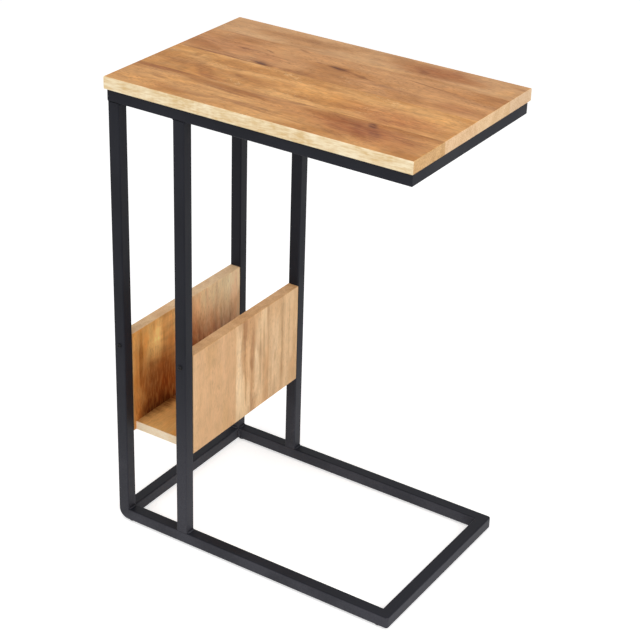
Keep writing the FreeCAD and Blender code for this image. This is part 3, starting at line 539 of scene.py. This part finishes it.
PORE_DEPTH = 0.00022
EVERYWHERE = 100000.0
# how a mark changes the wood under it: what it leaves of the red, green and blue
UMBER, RUST, BARK = (0.55, 0.42, 0.28, 1), (0.8, 0.63, 0.5, 1), (0.3, 0.17, 0.07, 1)
CREAM, HONEY = (1.16, 1.24, 1.36, 1), (1.1, 1.05, 0.9, 1)


def wood(name, tones, grown_at, turn, figure, marks=(), faces=(), upright=False, skin=(0, EVERYWHERE)):
    """Lacquered wood. Marks are (tint, strength, place, place, reach, reach, lean) in mm and degrees on the
    plank's face, and faces are (way, distance, tone, deeper tone, strength) of its sawn sides. The marks go
    through the plank, or stay in a skin that has its middle and reach in mm."""
    material, tree, shader, place = new_finish(name)
    grain_place = put(tree, "ShaderNodeMapping", Vector=place, Location=grown_at, Rotation=turn).outputs[0]
    light, body, dark = tones
    wooden = apply_effect(tree, plank, Vector=grain_place, Light=light, Body=body, Dark=dark, **figure)
    tone = wooden["Color"]
    lumps, shift = ((110, 110, 24), (0.007, 0.007, 0.018)) if upright else ((24, 110, 110), (0.018, 0.007, 0.007))
    roughened = apply_effect(tree, ragged, Vector=place, Lumps=lumps, Shift=shift)
    for tint, strength, first, second, first_reach, second_reach, lean in marks:
        spot, reach = (first, second, skin[0]), (first_reach, second_reach, skin[1])
        axis = (0, 0, math.radians(lean))
        if upright:
            spot, reach, axis = (spot[2], *spot[:2]), (reach[2], *reach[:2]), (axis[2], *axis[:2])
        mask = apply_effect(tree, stain, Vector=roughened["Vector"], Place=Vector(spot) / 1000, Lean=axis,
                            Reach=Vector(reach) / 1000, Core=0.3)["Mask"]
        mask = calc(tree, "MULTIPLY", mask, roughened["Streaks"])
        tone = mix(tree, calc(tree, "MULTIPLY", mask, strength), tone, tint, "MULTIPLY")
    for way, distance, face_tone, deep_tone, strength in faces:
        mask = apply_effect(tree, sawn_face, Vector=place, Way=way, Distance=distance)["Mask"]
        sawn_tone = mix(tree, wooden["Figure"], face_tone, deep_tone)
        tone = mix(tree, calc(tree, "MULTIPLY", mask, strength), tone, sawn_tone)
    tree.links.new(tone, shader.inputs["Base Color"])
    tree.links.new(wooden["Roughness"], shader.inputs["Roughness"])
    shader.inputs["Specular IOR Level"].default_value = 0.2
    raise_surface(tree, shader, wooden["Height"], PORE_DEPTH, 0.4)
    return material


top_low, top_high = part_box("top_board_1")
half_length, half_depth = top_high.x, -top_low.y
SIDE_TONES = linear(254, 243, 212), linear(222, 190, 136)
front_side = [((0, -1, 0), half_depth - 0.0009, *SIDE_TONES, 0.92)]
back_side = [((0, 1, 0), half_depth - 0.0009, *SIDE_TONES, 0.92)]


def top_ends(tone, deep_tone):
    return [((way, 0, 0), half_length - 0.0009, tone, deep_tone, 0.85) for way in (-1, 1)]


board_1 = wood(
    "board_1_wood", (linear(214, 156, 90), linear(186, 126, 64), linear(132, 72, 32)),
    (0.31, 0.155, -0.56), (0, math.radians(3), 0),
    {"Ring_Width": 0.013, "Ring_Strength": 0.4, "Wander": 0.06, "Stripes": 0.4, "Mottle": 0.45, "Curl": 0.3,
     "Flecks": 0.1, "Fibre": 0.2, "Pores": 0.5, "Knot": (0.31 + 0.123, 0.078, 0.06),
     "Knot_Reach": (0.03, 0.012, 1.0), "Knot_Lift": 0.016},
    [(RUST, 0.6, 70, -92, 140, 26, -4), (UMBER, 0.5, 120, -90, 46, 12, -18), (RUST, 0.9, 155, -101, 84, 44, 0),
     (HONEY, 0.8, -130, -92, 34, 14, 8), (HONEY, 0.7, -165, -118, 50, 16, 0), (CREAM, 0.5, -50, -101, 50, 6, -3),
     (UMBER, 0.8, -62, -89, 44, 4, -5), (UMBER, 0.7, -158, -97, 18, 5, -8), (RUST, 0.7, -168, -72, 52, 7, 2),
     (UMBER, 0.6, 10, -116, 84, 3, -4), (UMBER, 0.5, -45, -108, 50, 3, 0), (BARK, 0.95, 123, -77, 11, 7, -30),
     (UMBER, 0.6, 138, -100, 22, 8, -50), (UMBER, 0.7, 178, -95, 20, 5, 0), (CREAM, 0.4, 120, -128, 80, 6, 2),
     (RUST, 1.0, 108, -90, 74, 34, 0)],
    top_ends(linear(236, 196, 140), linear(190, 144, 90)) + front_side)
board_2 = wood(
    "board_2_wood", (linear(222, 164, 96), linear(196, 135, 70), linear(144, 86, 40)),
    (-0.12, 0.04, -0.57), (0, math.radians(-2), 0),
    {"Ring_Width": 0.012, "Ring_Strength": 0.3, "Wander": 0.055, "Stripes": 0.28, "Mottle": 0.45, "Curl": 0.5,
     "Flecks": 0.5, "Fibre": 0.22, "Pores": 0.5, "Knot": (-0.24, 0.03, 0.05), "Knot_Reach": (0.05, 0.02, 1.0),
     "Knot_Lift": 0.02},
    [(CREAM, 0.6, -170, -8, 42, 13, 0), (UMBER, 0.7, -166, -8, 9, 8, 30), (UMBER, 0.5, -128, -48, 58, 14, -42),
     (RUST, 0.6, -110, -62, 40, 10, -10), (UMBER, 0.6, -102, -24, 20, 6, 12), (UMBER, 0.5, -85, -39, 9, 5, -20),
     (HONEY, 0.8, 20, -28, 90, 22, 0), (CREAM, 0.4, 90, -6, 60, 6, 4), (UMBER, 0.5, 142, -56, 50, 8, 6),
     (UMBER, 0.5, 14, -54, 44, 4, -4), (UMBER, 0.45, 20, -9, 34, 3, 0), (RUST, 0.6, 155, -52, 80, 34, 0),
     (CREAM, 0.7, -145, 3, 62, 4, 0), (RUST, 0.95, 120, -44, 90, 32, 0), (HONEY, 0.7, 178, -20, 30, 16, 0),
     (CREAM, 0.7, -175, -8, 60, 26, 0)],
    top_ends(linear(250, 218, 178), linear(214, 172, 124)))
board_3 = wood(
    "board_3_wood", (linear(206, 147, 88), linear(182, 123, 67), linear(134, 77, 38)),
    (0.2, -0.07, -0.565), (0, math.radians(2.4), 0),
    {"Ring_Width": 0.014, "Ring_Strength": 0.34, "Wander": 0.06, "Stripes": 0.35, "Mottle": 0.42, "Curl": 0.25,
     "Flecks": 0.2, "Fibre": 0.2, "Pores": 0.55, "Knot": (0.2 - 0.006, -0.018, 0.05),
     "Knot_Reach": (0.035, 0.012, 1.0), "Knot_Lift": 0.014},
    [(RUST, 0.6, -160, 38, 80, 34, 0), (RUST, 0.5, -90, 30, 26, 20, -20), (UMBER, 0.35, -150, 70, 60, 10, 0),
     (CREAM, 0.7, 60, 72, 48, 9, 0), (HONEY, 0.8, 160, 66, 60, 10, -8), (BARK, 1.0, -6, 52, 16, 3.6, -8),
     (UMBER, 0.9, -4, 52, 24, 7, -8), (UMBER, 0.8, 30, 45, 34, 3.4, -14), (BARK, 0.7, -34, 55, 9, 2.6, 6),
     (BARK, 0.75, -103, 52, 9, 2.8, -24), (UMBER, 0.9, -133, 43, 14, 3.6, 0), (UMBER, 0.8, 108, 68, 52, 2.6, -6),
     (UMBER, 0.7, -72, 80, 16, 4, -20), (RUST, 0.7, 172, 24, 36, 15, 0), (BARK, 0.85, -90, 11, 17, 3.2, -8),
     (UMBER, 0.8, -88, 12, 26, 7, -6), (UMBER, 1.0, -148, 8, 70, 2.6, 0)],
    top_ends(linear(252, 222, 180), linear(218, 176, 124)))
board_4 = wood(
    "board_4_wood", (linear(208, 157, 104), linear(190, 136, 84), linear(142, 89, 48)),
    (-0.28, -0.13, -0.555), (0, math.radians(-3), 0),
    {"Ring_Width": 0.013, "Ring_Strength": 0.3, "Wander": 0.05, "Stripes": 0.25, "Mottle": 0.38, "Curl": 0.25,
     "Flecks": 0.08, "Fibre": 0.18, "Pores": 0.45, "Knot": (-0.19, -0.02, 0.06), "Knot_Reach": (0.04, 0.014, 1.0),
     "Knot_Lift": 0.012},
    [(CREAM, 0.7, -120, 89, 84, 7, 0), (HONEY, 0.7, 60, 88, 120, 7, 0), (RUST, 0.6, 100, 116, 46, 20, 6),
     (UMBER, 0.7, 82, 103, 10, 7, -20), (HONEY, 0.7, 192, 98, 14, 20, -30), (UMBER, 0.3, -80, 114, 14, 12, 30),
     (RUST, 1.0, 104, 110, 92, 30, 0)],
    top_ends(linear(244, 216, 180), linear(212, 172, 130)) + back_side)

for number, material in enumerate((board_1, board_2, board_3, board_4), start=1):
    dress(nodes[f"top_board_{number}"], material)


# ---------------------------------------------------------------------------
# Screws that hold the top
# Zinc-plated pan heads with a cross recess, driven up through the slotted tabs.

SCREW_STEPS = 48
CROWN_RINGS = 15
RECESS_SIDE = 0.0019
RECESS_ARM = 0.00052
RECESS_SLOPE = 0.00016
THREAD_PITCH = 0.0014
THREAD_DEPTH = 0.00045


def screw_mesh(name, head_radius, head_height, core, plain_length, length):
    """A screw that points up, with the underside of its head at the origin."""
    crown = head_height
    profile = [(0, -crown)]
    for ring in range(1, CROWN_RINGS + 1):
        share = 0.66 * ring / CROWN_RINGS
        profile.append((head_radius * share, -crown + crown * 0.1 * share ** 2))
    profile += [(head_radius * 0.76, -crown * 0.93), (head_radius * 0.88, -crown * 0.8),
                (head_radius * 0.96, -crown * 0.55), (head_radius, -crown * 0.28), (head_radius, -crown * 0.05),
                (head_radius * 0.97, 0), (core, 0), (core, plain_length)]
    rows = int((length - plain_length - 0.003) / THREAD_PITCH * 6)
    for row in range(rows):
        height = plain_length + THREAD_PITCH * (row + 1) / 6
        profile.append((core, height))
    profile += [(core * 0.55, length - 0.0012), (0, length)]
    work = turned(profile, SCREW_STEPS)
    for vertex in work.verts:
        if plain_length + THREAD_PITCH / 3 < vertex.co.z < length - 0.003:
            turn = math.atan2(vertex.co.y, vertex.co.x) / (2 * math.pi)
            phase = (vertex.co.z / THREAD_PITCH - turn) % 1.0
            ridge = max(0.0, 1 - abs(phase - 0.5) * 4) * THREAD_DEPTH
            sideways = Vector((vertex.co.x, vertex.co.y, 0)).normalized()
            vertex.co += sideways * ridge
        elif vertex.co.z < -crown * 0.85:
            arm = min(abs(vertex.co.x), abs(vertex.co.y))
            out = max(abs(vertex.co.x), abs(vertex.co.y))
            wall = min(1.0, (RECESS_ARM - arm) / RECESS_SLOPE, (RECESS_SIDE - out) / RECESS_SLOPE)
            if wall > 0:
                vertex.co.z += crown * 0.6 * (1 - (out / RECESS_SIDE) ** 2 * 0.6) * wall
    mesh = bpy.data.meshes.new(name)
    work.to_mesh(mesh)
    work.free()
    for face in mesh.polygons:
        face.use_smooth = True
    return mesh


placed_screws, screws_in, screws_out = new_shape_tree("placed_screws", {
    "Screw": "NodeSocketObject", "Turn": "NodeSocketRotation", "Material": "NodeSocketMaterial"})
one_screw = put(placed_screws, "GeometryNodeObjectInfo", Object=screws_in["Screw"]).outputs["Geometry"]
many_screws = put(placed_screws, "GeometryNodeInstanceOnPoints", Points=screws_in["Geometry"],
                  Instance=one_screw, Rotation=screws_in["Turn"]).outputs[0]
end_shape_tree(placed_screws, many_screws, screws_in["Material"], screws_out)


def place_screws(node, screw, turn, places, material):
    points = bpy.data.meshes.new(node + "_points")
    points.from_pydata(places, [], [])
    piece = shaped("driven_" + node, points, placed_screws,
                   {"Screw": screw, "Turn": turn, "Material": material})
    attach(piece, "root")
    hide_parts(node)


def screw_pattern(name, mesh):
    pattern = bpy.data.objects.new(name, mesh)
    bpy.context.scene.collection.objects.link(pattern)
    return pattern


bright_zinc, tree, shader, place = new_finish("bright_zinc")
grain = apply_effect(tree, surface_grain, Vector=place, Grain=3200.0, Cloud=420.0)
tree.links.new(mix(tree, grain["Variation"], linear(168, 168, 160), linear(196, 196, 190)),
               shader.inputs["Base Color"])
shader.inputs["Metallic"].default_value = 1.0
tree.links.new(ramp(tree, grain["Variation"], 0.0, 1.0, 0.3, 0.45), shader.inputs["Roughness"])
raise_surface(tree, shader, grain["Height"], 0.00003, 0.4)

low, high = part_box("top_screws")
head_under = tab_under
head_height = head_under - low.z
head_radius = 0.0032
top_places = []
for x in (low.x + head_radius, high.x - head_radius):
    for y in (low.y + head_radius, high.y - head_radius):
        top_places.append((x, y, head_under))
top_screw = screw_pattern("top_screw_pattern", screw_mesh(
    "top_screw_pattern", head_radius, head_height, 0.0015, 0.003, high.z - head_under))
place_screws("top_screws", top_screw, (0.0, 0.0, 0.0), top_places, bright_zinc)


# ---------------------------------------------------------------------------
# Magazine rack: two panels of three staves each, and the shelf between them
# The same wood as the top, the staves upright and glued edge to edge, the shelf
# tongued into both panels with its grain along the rack.

outer_low, outer_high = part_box("rack_outer_stave_1")
panel_foot, panel_top = outer_low.z, outer_high.z
RACK_SIDE = linear(240, 204, 156), linear(212, 166, 112)
stand_up = (0, math.pi / 2, 0)
near_side = [((0, -1, 0), -outer_low.y - 0.0004, *RACK_SIDE, 0.7)]
far_side = [((0, 1, 0), -outer_low.y - 0.0004, *RACK_SIDE, 0.7)]
PALE, TAN, FAWN, TOAST = linear(244, 206, 158), linear(222, 176, 126), linear(202, 152, 102), linear(168, 112, 64)
GOLD, AMBER, CHESTNUT = linear(254, 212, 138), linear(244, 172, 90), linear(160, 88, 40)
# a deep red-brown low in the slot, partly darker heartwood and partly painted shade where little light gets in; it
# stays in the slot's face and doesn't come through to the outside
HEART_AND_SLOT_SHADE = (0.47, 0.25, 0.13, 1)
SLOT_SKIN = (outer_high.x * 1000, 13)


def stave_ends(tone, deep_tone):
    return [((0, 0, 1), panel_top - 0.0006, tone, deep_tone, 0.85),
            ((0, 0, -1), 0.0006 - panel_foot, tone, deep_tone, 0.85)]


def stave_figure(ring_width, rings, stripes, knot=(0, 0, 0), lift=0.0, curl=0.2, pores=0.4, mottle=0.25):
    return {"Ring_Width": ring_width, "Ring_Strength": rings, "Wander": 0.035, "Stripes": stripes, "Curl": curl,
            "Flecks": 0.1, "Fibre": 0.12, "Pores": pores, "Mottle": mottle, "Knot": knot,
            "Knot_Reach": (0.03, 0.012, 1.0), "Knot_Lift": lift}


inner_ends = stave_ends(linear(254, 208, 152), linear(204, 150, 98))
outer_ends = stave_ends(linear(255, 222, 178), linear(220, 176, 130))
stave_woods = {
    "rack_inner_stave_1": wood(
        "inner_stave_1_wood", (linear(230, 184, 136), TAN, FAWN), (0.1, 0.3, 0.0), stand_up,
        stave_figure(0.02, 0.3, 0.12, mottle=0.32), [(CREAM, 0.3, -112, 200, 7, 90, 0)],
        inner_ends + near_side, True),
    "rack_inner_stave_2": wood(
        "inner_stave_2_wood", (PALE, linear(226, 178, 128), TOAST), (0.4, -0.02, 0.06), stand_up,
        stave_figure(0.01, 0.45, 0.6, (0.4 + 0.19, -0.004, 0.06), 0.012, mottle=0.4),
        [(CREAM, 0.7, -17, 205, 9, 90, 0), (UMBER, 0.6, -7, 240, 6, 56, 2), (UMBER, 0.7, -3, 178, 2, 42, 2),
         (UMBER, 0.5, 30, 205, 2.5, 70, 1), (CREAM, 0.6, 20, 195, 4, 70, -1), (UMBER, 0.5, 38, 215, 3, 60, 1),
         (UMBER, 0.55, 10, 205, 5, 14, 10), (CREAM, 0.5, 4, 225, 3, 60, 1)],
        inner_ends, True),
    "rack_inner_stave_3": wood(
        "inner_stave_3_wood", (linear(236, 196, 148), TAN, linear(182, 132, 84)), (0.7, -0.3, 0.02), stand_up,
        stave_figure(0.014, 0.35, 0.35, mottle=0.35),
        [(CREAM, 0.7, 62, 215, 12, 90, 0), (UMBER, 0.5, 80, 205, 4, 90, 0), (CREAM, 0.7, 113, 205, 4, 90, 0),
         (UMBER, 0.55, 64, 194, 4, 10, 0), (UMBER, 0.35, 96, 215, 2, 70, 0)],
        inner_ends + far_side, True),
    "rack_outer_stave_1": wood(
        "outer_stave_1_wood", (GOLD, AMBER, CHESTNUT), (0.15, 0.11, 0.05), stand_up,
        stave_figure(0.01, 0.3, 0.2, (0.15 + 0.24, 0.04, 0.05), 0.014, 0.7, mottle=0.4),
        # in the slot: the dark marks low down and the dark band at the foot above the shelf are painted shade, the
        # thin pale strip along the open front edge is a painted highlight, and the pale marks high up are the wood's
        # paler figure with painted light on it
        [(HEART_AND_SLOT_SHADE, 1.0, -56, 142, 80, 108, 0), (UMBER, 1.0, -62, 136, 54, 44, 0), (UMBER, 0.9, -87, 144, 22, 52, 0),
         (RUST, 1.0, -78, 204, 46, 30, 0), (HONEY, 1.0, -70, 250, 34, 38, 0), (CREAM, 1.0, -68, 248, 26, 36, 0),
         (UMBER, 0.8, -100, 230, 6, 50, 0), (UMBER, 0.4, -52, 240, 3, 34, 2), (CREAM, 0.9, -113, 205, 4, 90, 0),
         (BARK, 0.65, -60, 143, 46, 23, 0)],
        outer_ends + near_side, True, SLOT_SKIN),
    "rack_outer_stave_2": wood(
        "outer_stave_2_wood", (linear(255, 228, 178), linear(252, 204, 150), linear(176, 116, 74)),
        (0.5, 0.02, 0.07), stand_up, stave_figure(0.012, 0.35, 0.35, mottle=0.4),
        [(RUST, 1.0, 20, 184, 90, 92, 0), (HEART_AND_SLOT_SHADE, 1.0, 10, 150, 90, 112, 0), (UMBER, 0.7, 0, 205, 4, 50, 2),
         (UMBER, 0.5, 24, 200, 3, 54, -2), (CREAM, 0.35, 12, 225, 3, 44, 1), (UMBER, 0.5, -18, 200, 3, 60, 1)],
        outer_ends, True, SLOT_SKIN),
    "rack_outer_stave_3": wood(
        "outer_stave_3_wood", (linear(255, 234, 186), linear(255, 216, 166), linear(190, 132, 88)),
        (0.8, -0.2, 0.04), stand_up, stave_figure(0.012, 0.35, 0.3, mottle=0.4),
        [(RUST, 1.0, 66, 184, 90, 88, 0), (HEART_AND_SLOT_SHADE, 0.95, 66, 146, 90, 96, 0), (UMBER, 0.6, 74, 200, 4, 50, 3),
         (UMBER, 0.5, 94, 190, 3, 54, -1), (CREAM, 0.3, 84, 225, 3, 44, 0), (CREAM, 0.9, 104, 256, 22, 30, 0)],
        outer_ends + far_side, True, SLOT_SKIN),
}
for name, material in stave_woods.items():
    dress(nodes[name], material)

shelf_low, shelf_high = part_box("rack_shelf")
SHELF_END = linear(254, 244, 224), linear(240, 208, 162)
shelf_ends = [((0, way, 0), shelf_high.y - 0.0009, *SHELF_END, 0.95) for way in (-1, 1)]
# painted shade: a dark band along the outer panel, in the shelf's top only, where the corner of the slot lies in
# shadow
shelf_wood = wood(
    "shelf_wood", (linear(252, 200, 124), linear(234, 170, 92), linear(172, 110, 56)), (0.12, -0.17, -0.09),
    (0, 0, -math.pi / 2), stave_figure(0.012, 0.35, 0.3),
    [(BARK, 1.0, -194, 60, 25, 250, 0), (UMBER, 0.9, -194, 60, 18, 230, 0)], shelf_ends,
    skin=(shelf_high.z * 1000, 8))
dress(nodes["rack_shelf"], shelf_wood)


# ---------------------------------------------------------------------------
# Screws of the rack
# Black pan heads on the outside of the posts; each screw runs right through its tube
# into the edge of a panel.

black_steel, tree, shader, place = new_finish("black_steel")
grain = apply_effect(tree, surface_grain, Vector=place, Grain=3000.0, Cloud=380.0)
tree.links.new(mix(tree, grain["Variation"], linear(10, 10, 12), linear(22, 22, 24)), shader.inputs["Base Color"])
tree.links.new(ramp(tree, grain["Variation"], 0.0, 1.0, 0.34, 0.5), shader.inputs["Roughness"])
shader.inputs["Specular IOR Level"].default_value = 0.2
raise_surface(tree, shader, grain["Height"], 0.00004, 0.5)

low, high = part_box("rack_screws_front")
head_height = front - low.y
screw_height = (low.z + high.z) / 2
rack_screw = screw_pattern("rack_screw_pattern", screw_mesh(
    "rack_screw_pattern", head_radius, head_height, 0.0015, TUBE, high.y - front))
for node, face, tip in (("rack_screws_front", front, 1), ("rack_screws_back", -front, -1)):
    places = [(x, face, screw_height) for x in (low.x + head_radius, high.x - head_radius)]
    place_screws(node, rack_screw, (-tip * math.pi / 2, 0.0, 0.0), places, black_steel)

for pattern in (top_screw, rack_screw):
    bpy.data.objects.remove(pattern)


# ---------------------------------------------------------------------------
# Studio: a plain pale floor, soft lamps and the camera
# The floor runs far beyond the view, is white to the camera and takes the shadow.

FLOOR_SIZE = 40.0
FLOOR_GLOW = 0.56
WORLD_LEVEL = 0.46

floor_mesh = bpy.data.meshes.new("floor")
floor_mesh.from_pydata([(-FLOOR_SIZE, -FLOOR_SIZE, 0), (FLOOR_SIZE, -FLOOR_SIZE, 0),
                        (FLOOR_SIZE, FLOOR_SIZE, 0), (-FLOOR_SIZE, FLOOR_SIZE, 0)], [], [(0, 1, 2, 3)])
floor = bpy.data.objects.new("floor", floor_mesh)
bpy.context.scene.collection.objects.link(floor)

floor_paper = bpy.data.materials.new("floor_paper")
floor_paper.use_nodes = True
tree = floor_paper.node_tree
shader = next(node for node in tree.nodes if node.type == "BSDF_PRINCIPLED")
place = tree.nodes.new("ShaderNodeTexCoord").outputs["Object"]
paper = apply_effect(tree, surface_grain, Vector=place, Grain=900.0, Cloud=3.0)
tree.links.new(mix(tree, paper["Variation"], (0.8, 0.8, 0.8, 1), (0.82, 0.82, 0.82, 1)), shader.inputs["Base Color"])
shader.inputs["Roughness"].default_value = 0.9
shader.inputs["Specular IOR Level"].default_value = 0.1


def seen_plainly(tree):
    """One for what the camera sees, straight or in a reflection or through glass."""
    ray = tree.nodes.new("ShaderNodeLightPath").outputs
    seen = calc(tree, "MAXIMUM", ray["Is Camera Ray"], ray["Is Glossy Ray"])
    return calc(tree, "MAXIMUM", seen, ray["Is Transmission Ray"])


shader.inputs["Emission Color"].default_value = (1, 1, 1, 1)
tree.links.new(calc(tree, "MULTIPLY", seen_plainly(tree), FLOOR_GLOW), shader.inputs["Emission Strength"])
# from below the floor isn't there, so that the underside can be looked at
backface = tree.nodes.new("ShaderNodeNewGeometry").outputs["Backfacing"]
clear = tree.nodes.new("ShaderNodeBsdfTransparent").outputs[0]
paper_or_clear = put(tree, "ShaderNodeMixShader", _0=backface, _1=shader.outputs[0], _2=clear).outputs[0]
surface = next(node for node in tree.nodes if node.type == "OUTPUT_MATERIAL").inputs["Surface"]
tree.links.new(paper_or_clear, surface)
floor_mesh.materials.append(floor_paper)

world = bpy.data.worlds.new("studio")
bpy.context.scene.world = world
world.use_nodes = True
tree = world.node_tree
sky = next(node for node in tree.nodes if node.type == "BACKGROUND")
sky.inputs["Color"].default_value = (1, 1, 1, 1)
sky_level = put(tree, "ShaderNodeMapRange", Value=seen_plainly(tree), To_Min=WORLD_LEVEL, To_Max=1.0).outputs[0]
tree.links.new(sky_level, sky.inputs["Strength"])


def soft_lamp(name, place, aim, width, height, power):
    lamp = bpy.data.lights.new(name, "AREA")
    lamp.shape = "RECTANGLE"
    lamp.size = width
    lamp.size_y = height
    lamp.energy = power
    obj = bpy.data.objects.new(name, lamp)
    obj.location = place
    obj.rotation_euler = (Vector(aim) - Vector(place)).to_track_quat("-Z", "Y").to_euler()
    bpy.context.scene.collection.objects.link(obj)


soft_lamp("overhead_box", (-0.3, -0.6, 2.3), (0, 0, 0.5), 1.8, 1.8, 11)
soft_lamp("front_box", (0.2, -2.4, 1.1), (0, 0, 0.35), 1.6, 1.2, 18)
soft_lamp("side_box", (2.1, -0.5, 1.7), (0, 0, 0.35), 1.2, 1.4, 25)

# the camera looks down on the table from the right of its front
CAMERA_PLACE = Vector((1.03448, -1.61382, 1.34045))
CAMERA_AZIMUTH = math.radians(32.0043)
CAMERA_DIP = math.radians(27.0386)
CAMERA_ROLL = math.radians(1.9941)
SENSOR = 36.0
VIEW_SIDE = 640
FOCAL_PIXELS = 1749.80
VIEW_CENTRE = (330.0, 280.0)

forward = Vector((-math.sin(CAMERA_AZIMUTH) * math.cos(CAMERA_DIP),
                  math.cos(CAMERA_AZIMUTH) * math.cos(CAMERA_DIP), -math.sin(CAMERA_DIP)))
level = Vector((math.cos(CAMERA_AZIMUTH), math.sin(CAMERA_AZIMUTH), 0))
upward = level.cross(forward)
image_right = level * math.cos(CAMERA_ROLL) + upward * math.sin(CAMERA_ROLL)
image_up = upward * math.cos(CAMERA_ROLL) - level * math.sin(CAMERA_ROLL)
lens = bpy.data.cameras.new("camera")
lens.sensor_width = SENSOR
lens.lens = FOCAL_PIXELS * SENSOR / VIEW_SIDE
lens.shift_x = (VIEW_SIDE / 2 - VIEW_CENTRE[0]) / VIEW_SIDE
lens.shift_y = (VIEW_CENTRE[1] - VIEW_SIDE / 2) / VIEW_SIDE
lens.clip_start = 0.05
lens.clip_end = 100.0
camera = bpy.data.objects.new("camera", lens)
turn = Matrix((image_right, image_up, -forward)).transposed()
camera.matrix_world = Matrix.Translation(CAMERA_PLACE) @ turn.to_4x4()
bpy.context.scene.collection.objects.link(camera)
bpy.context.scene.camera = camera
bpy.context.scene.view_settings.view_transform = "Standard"
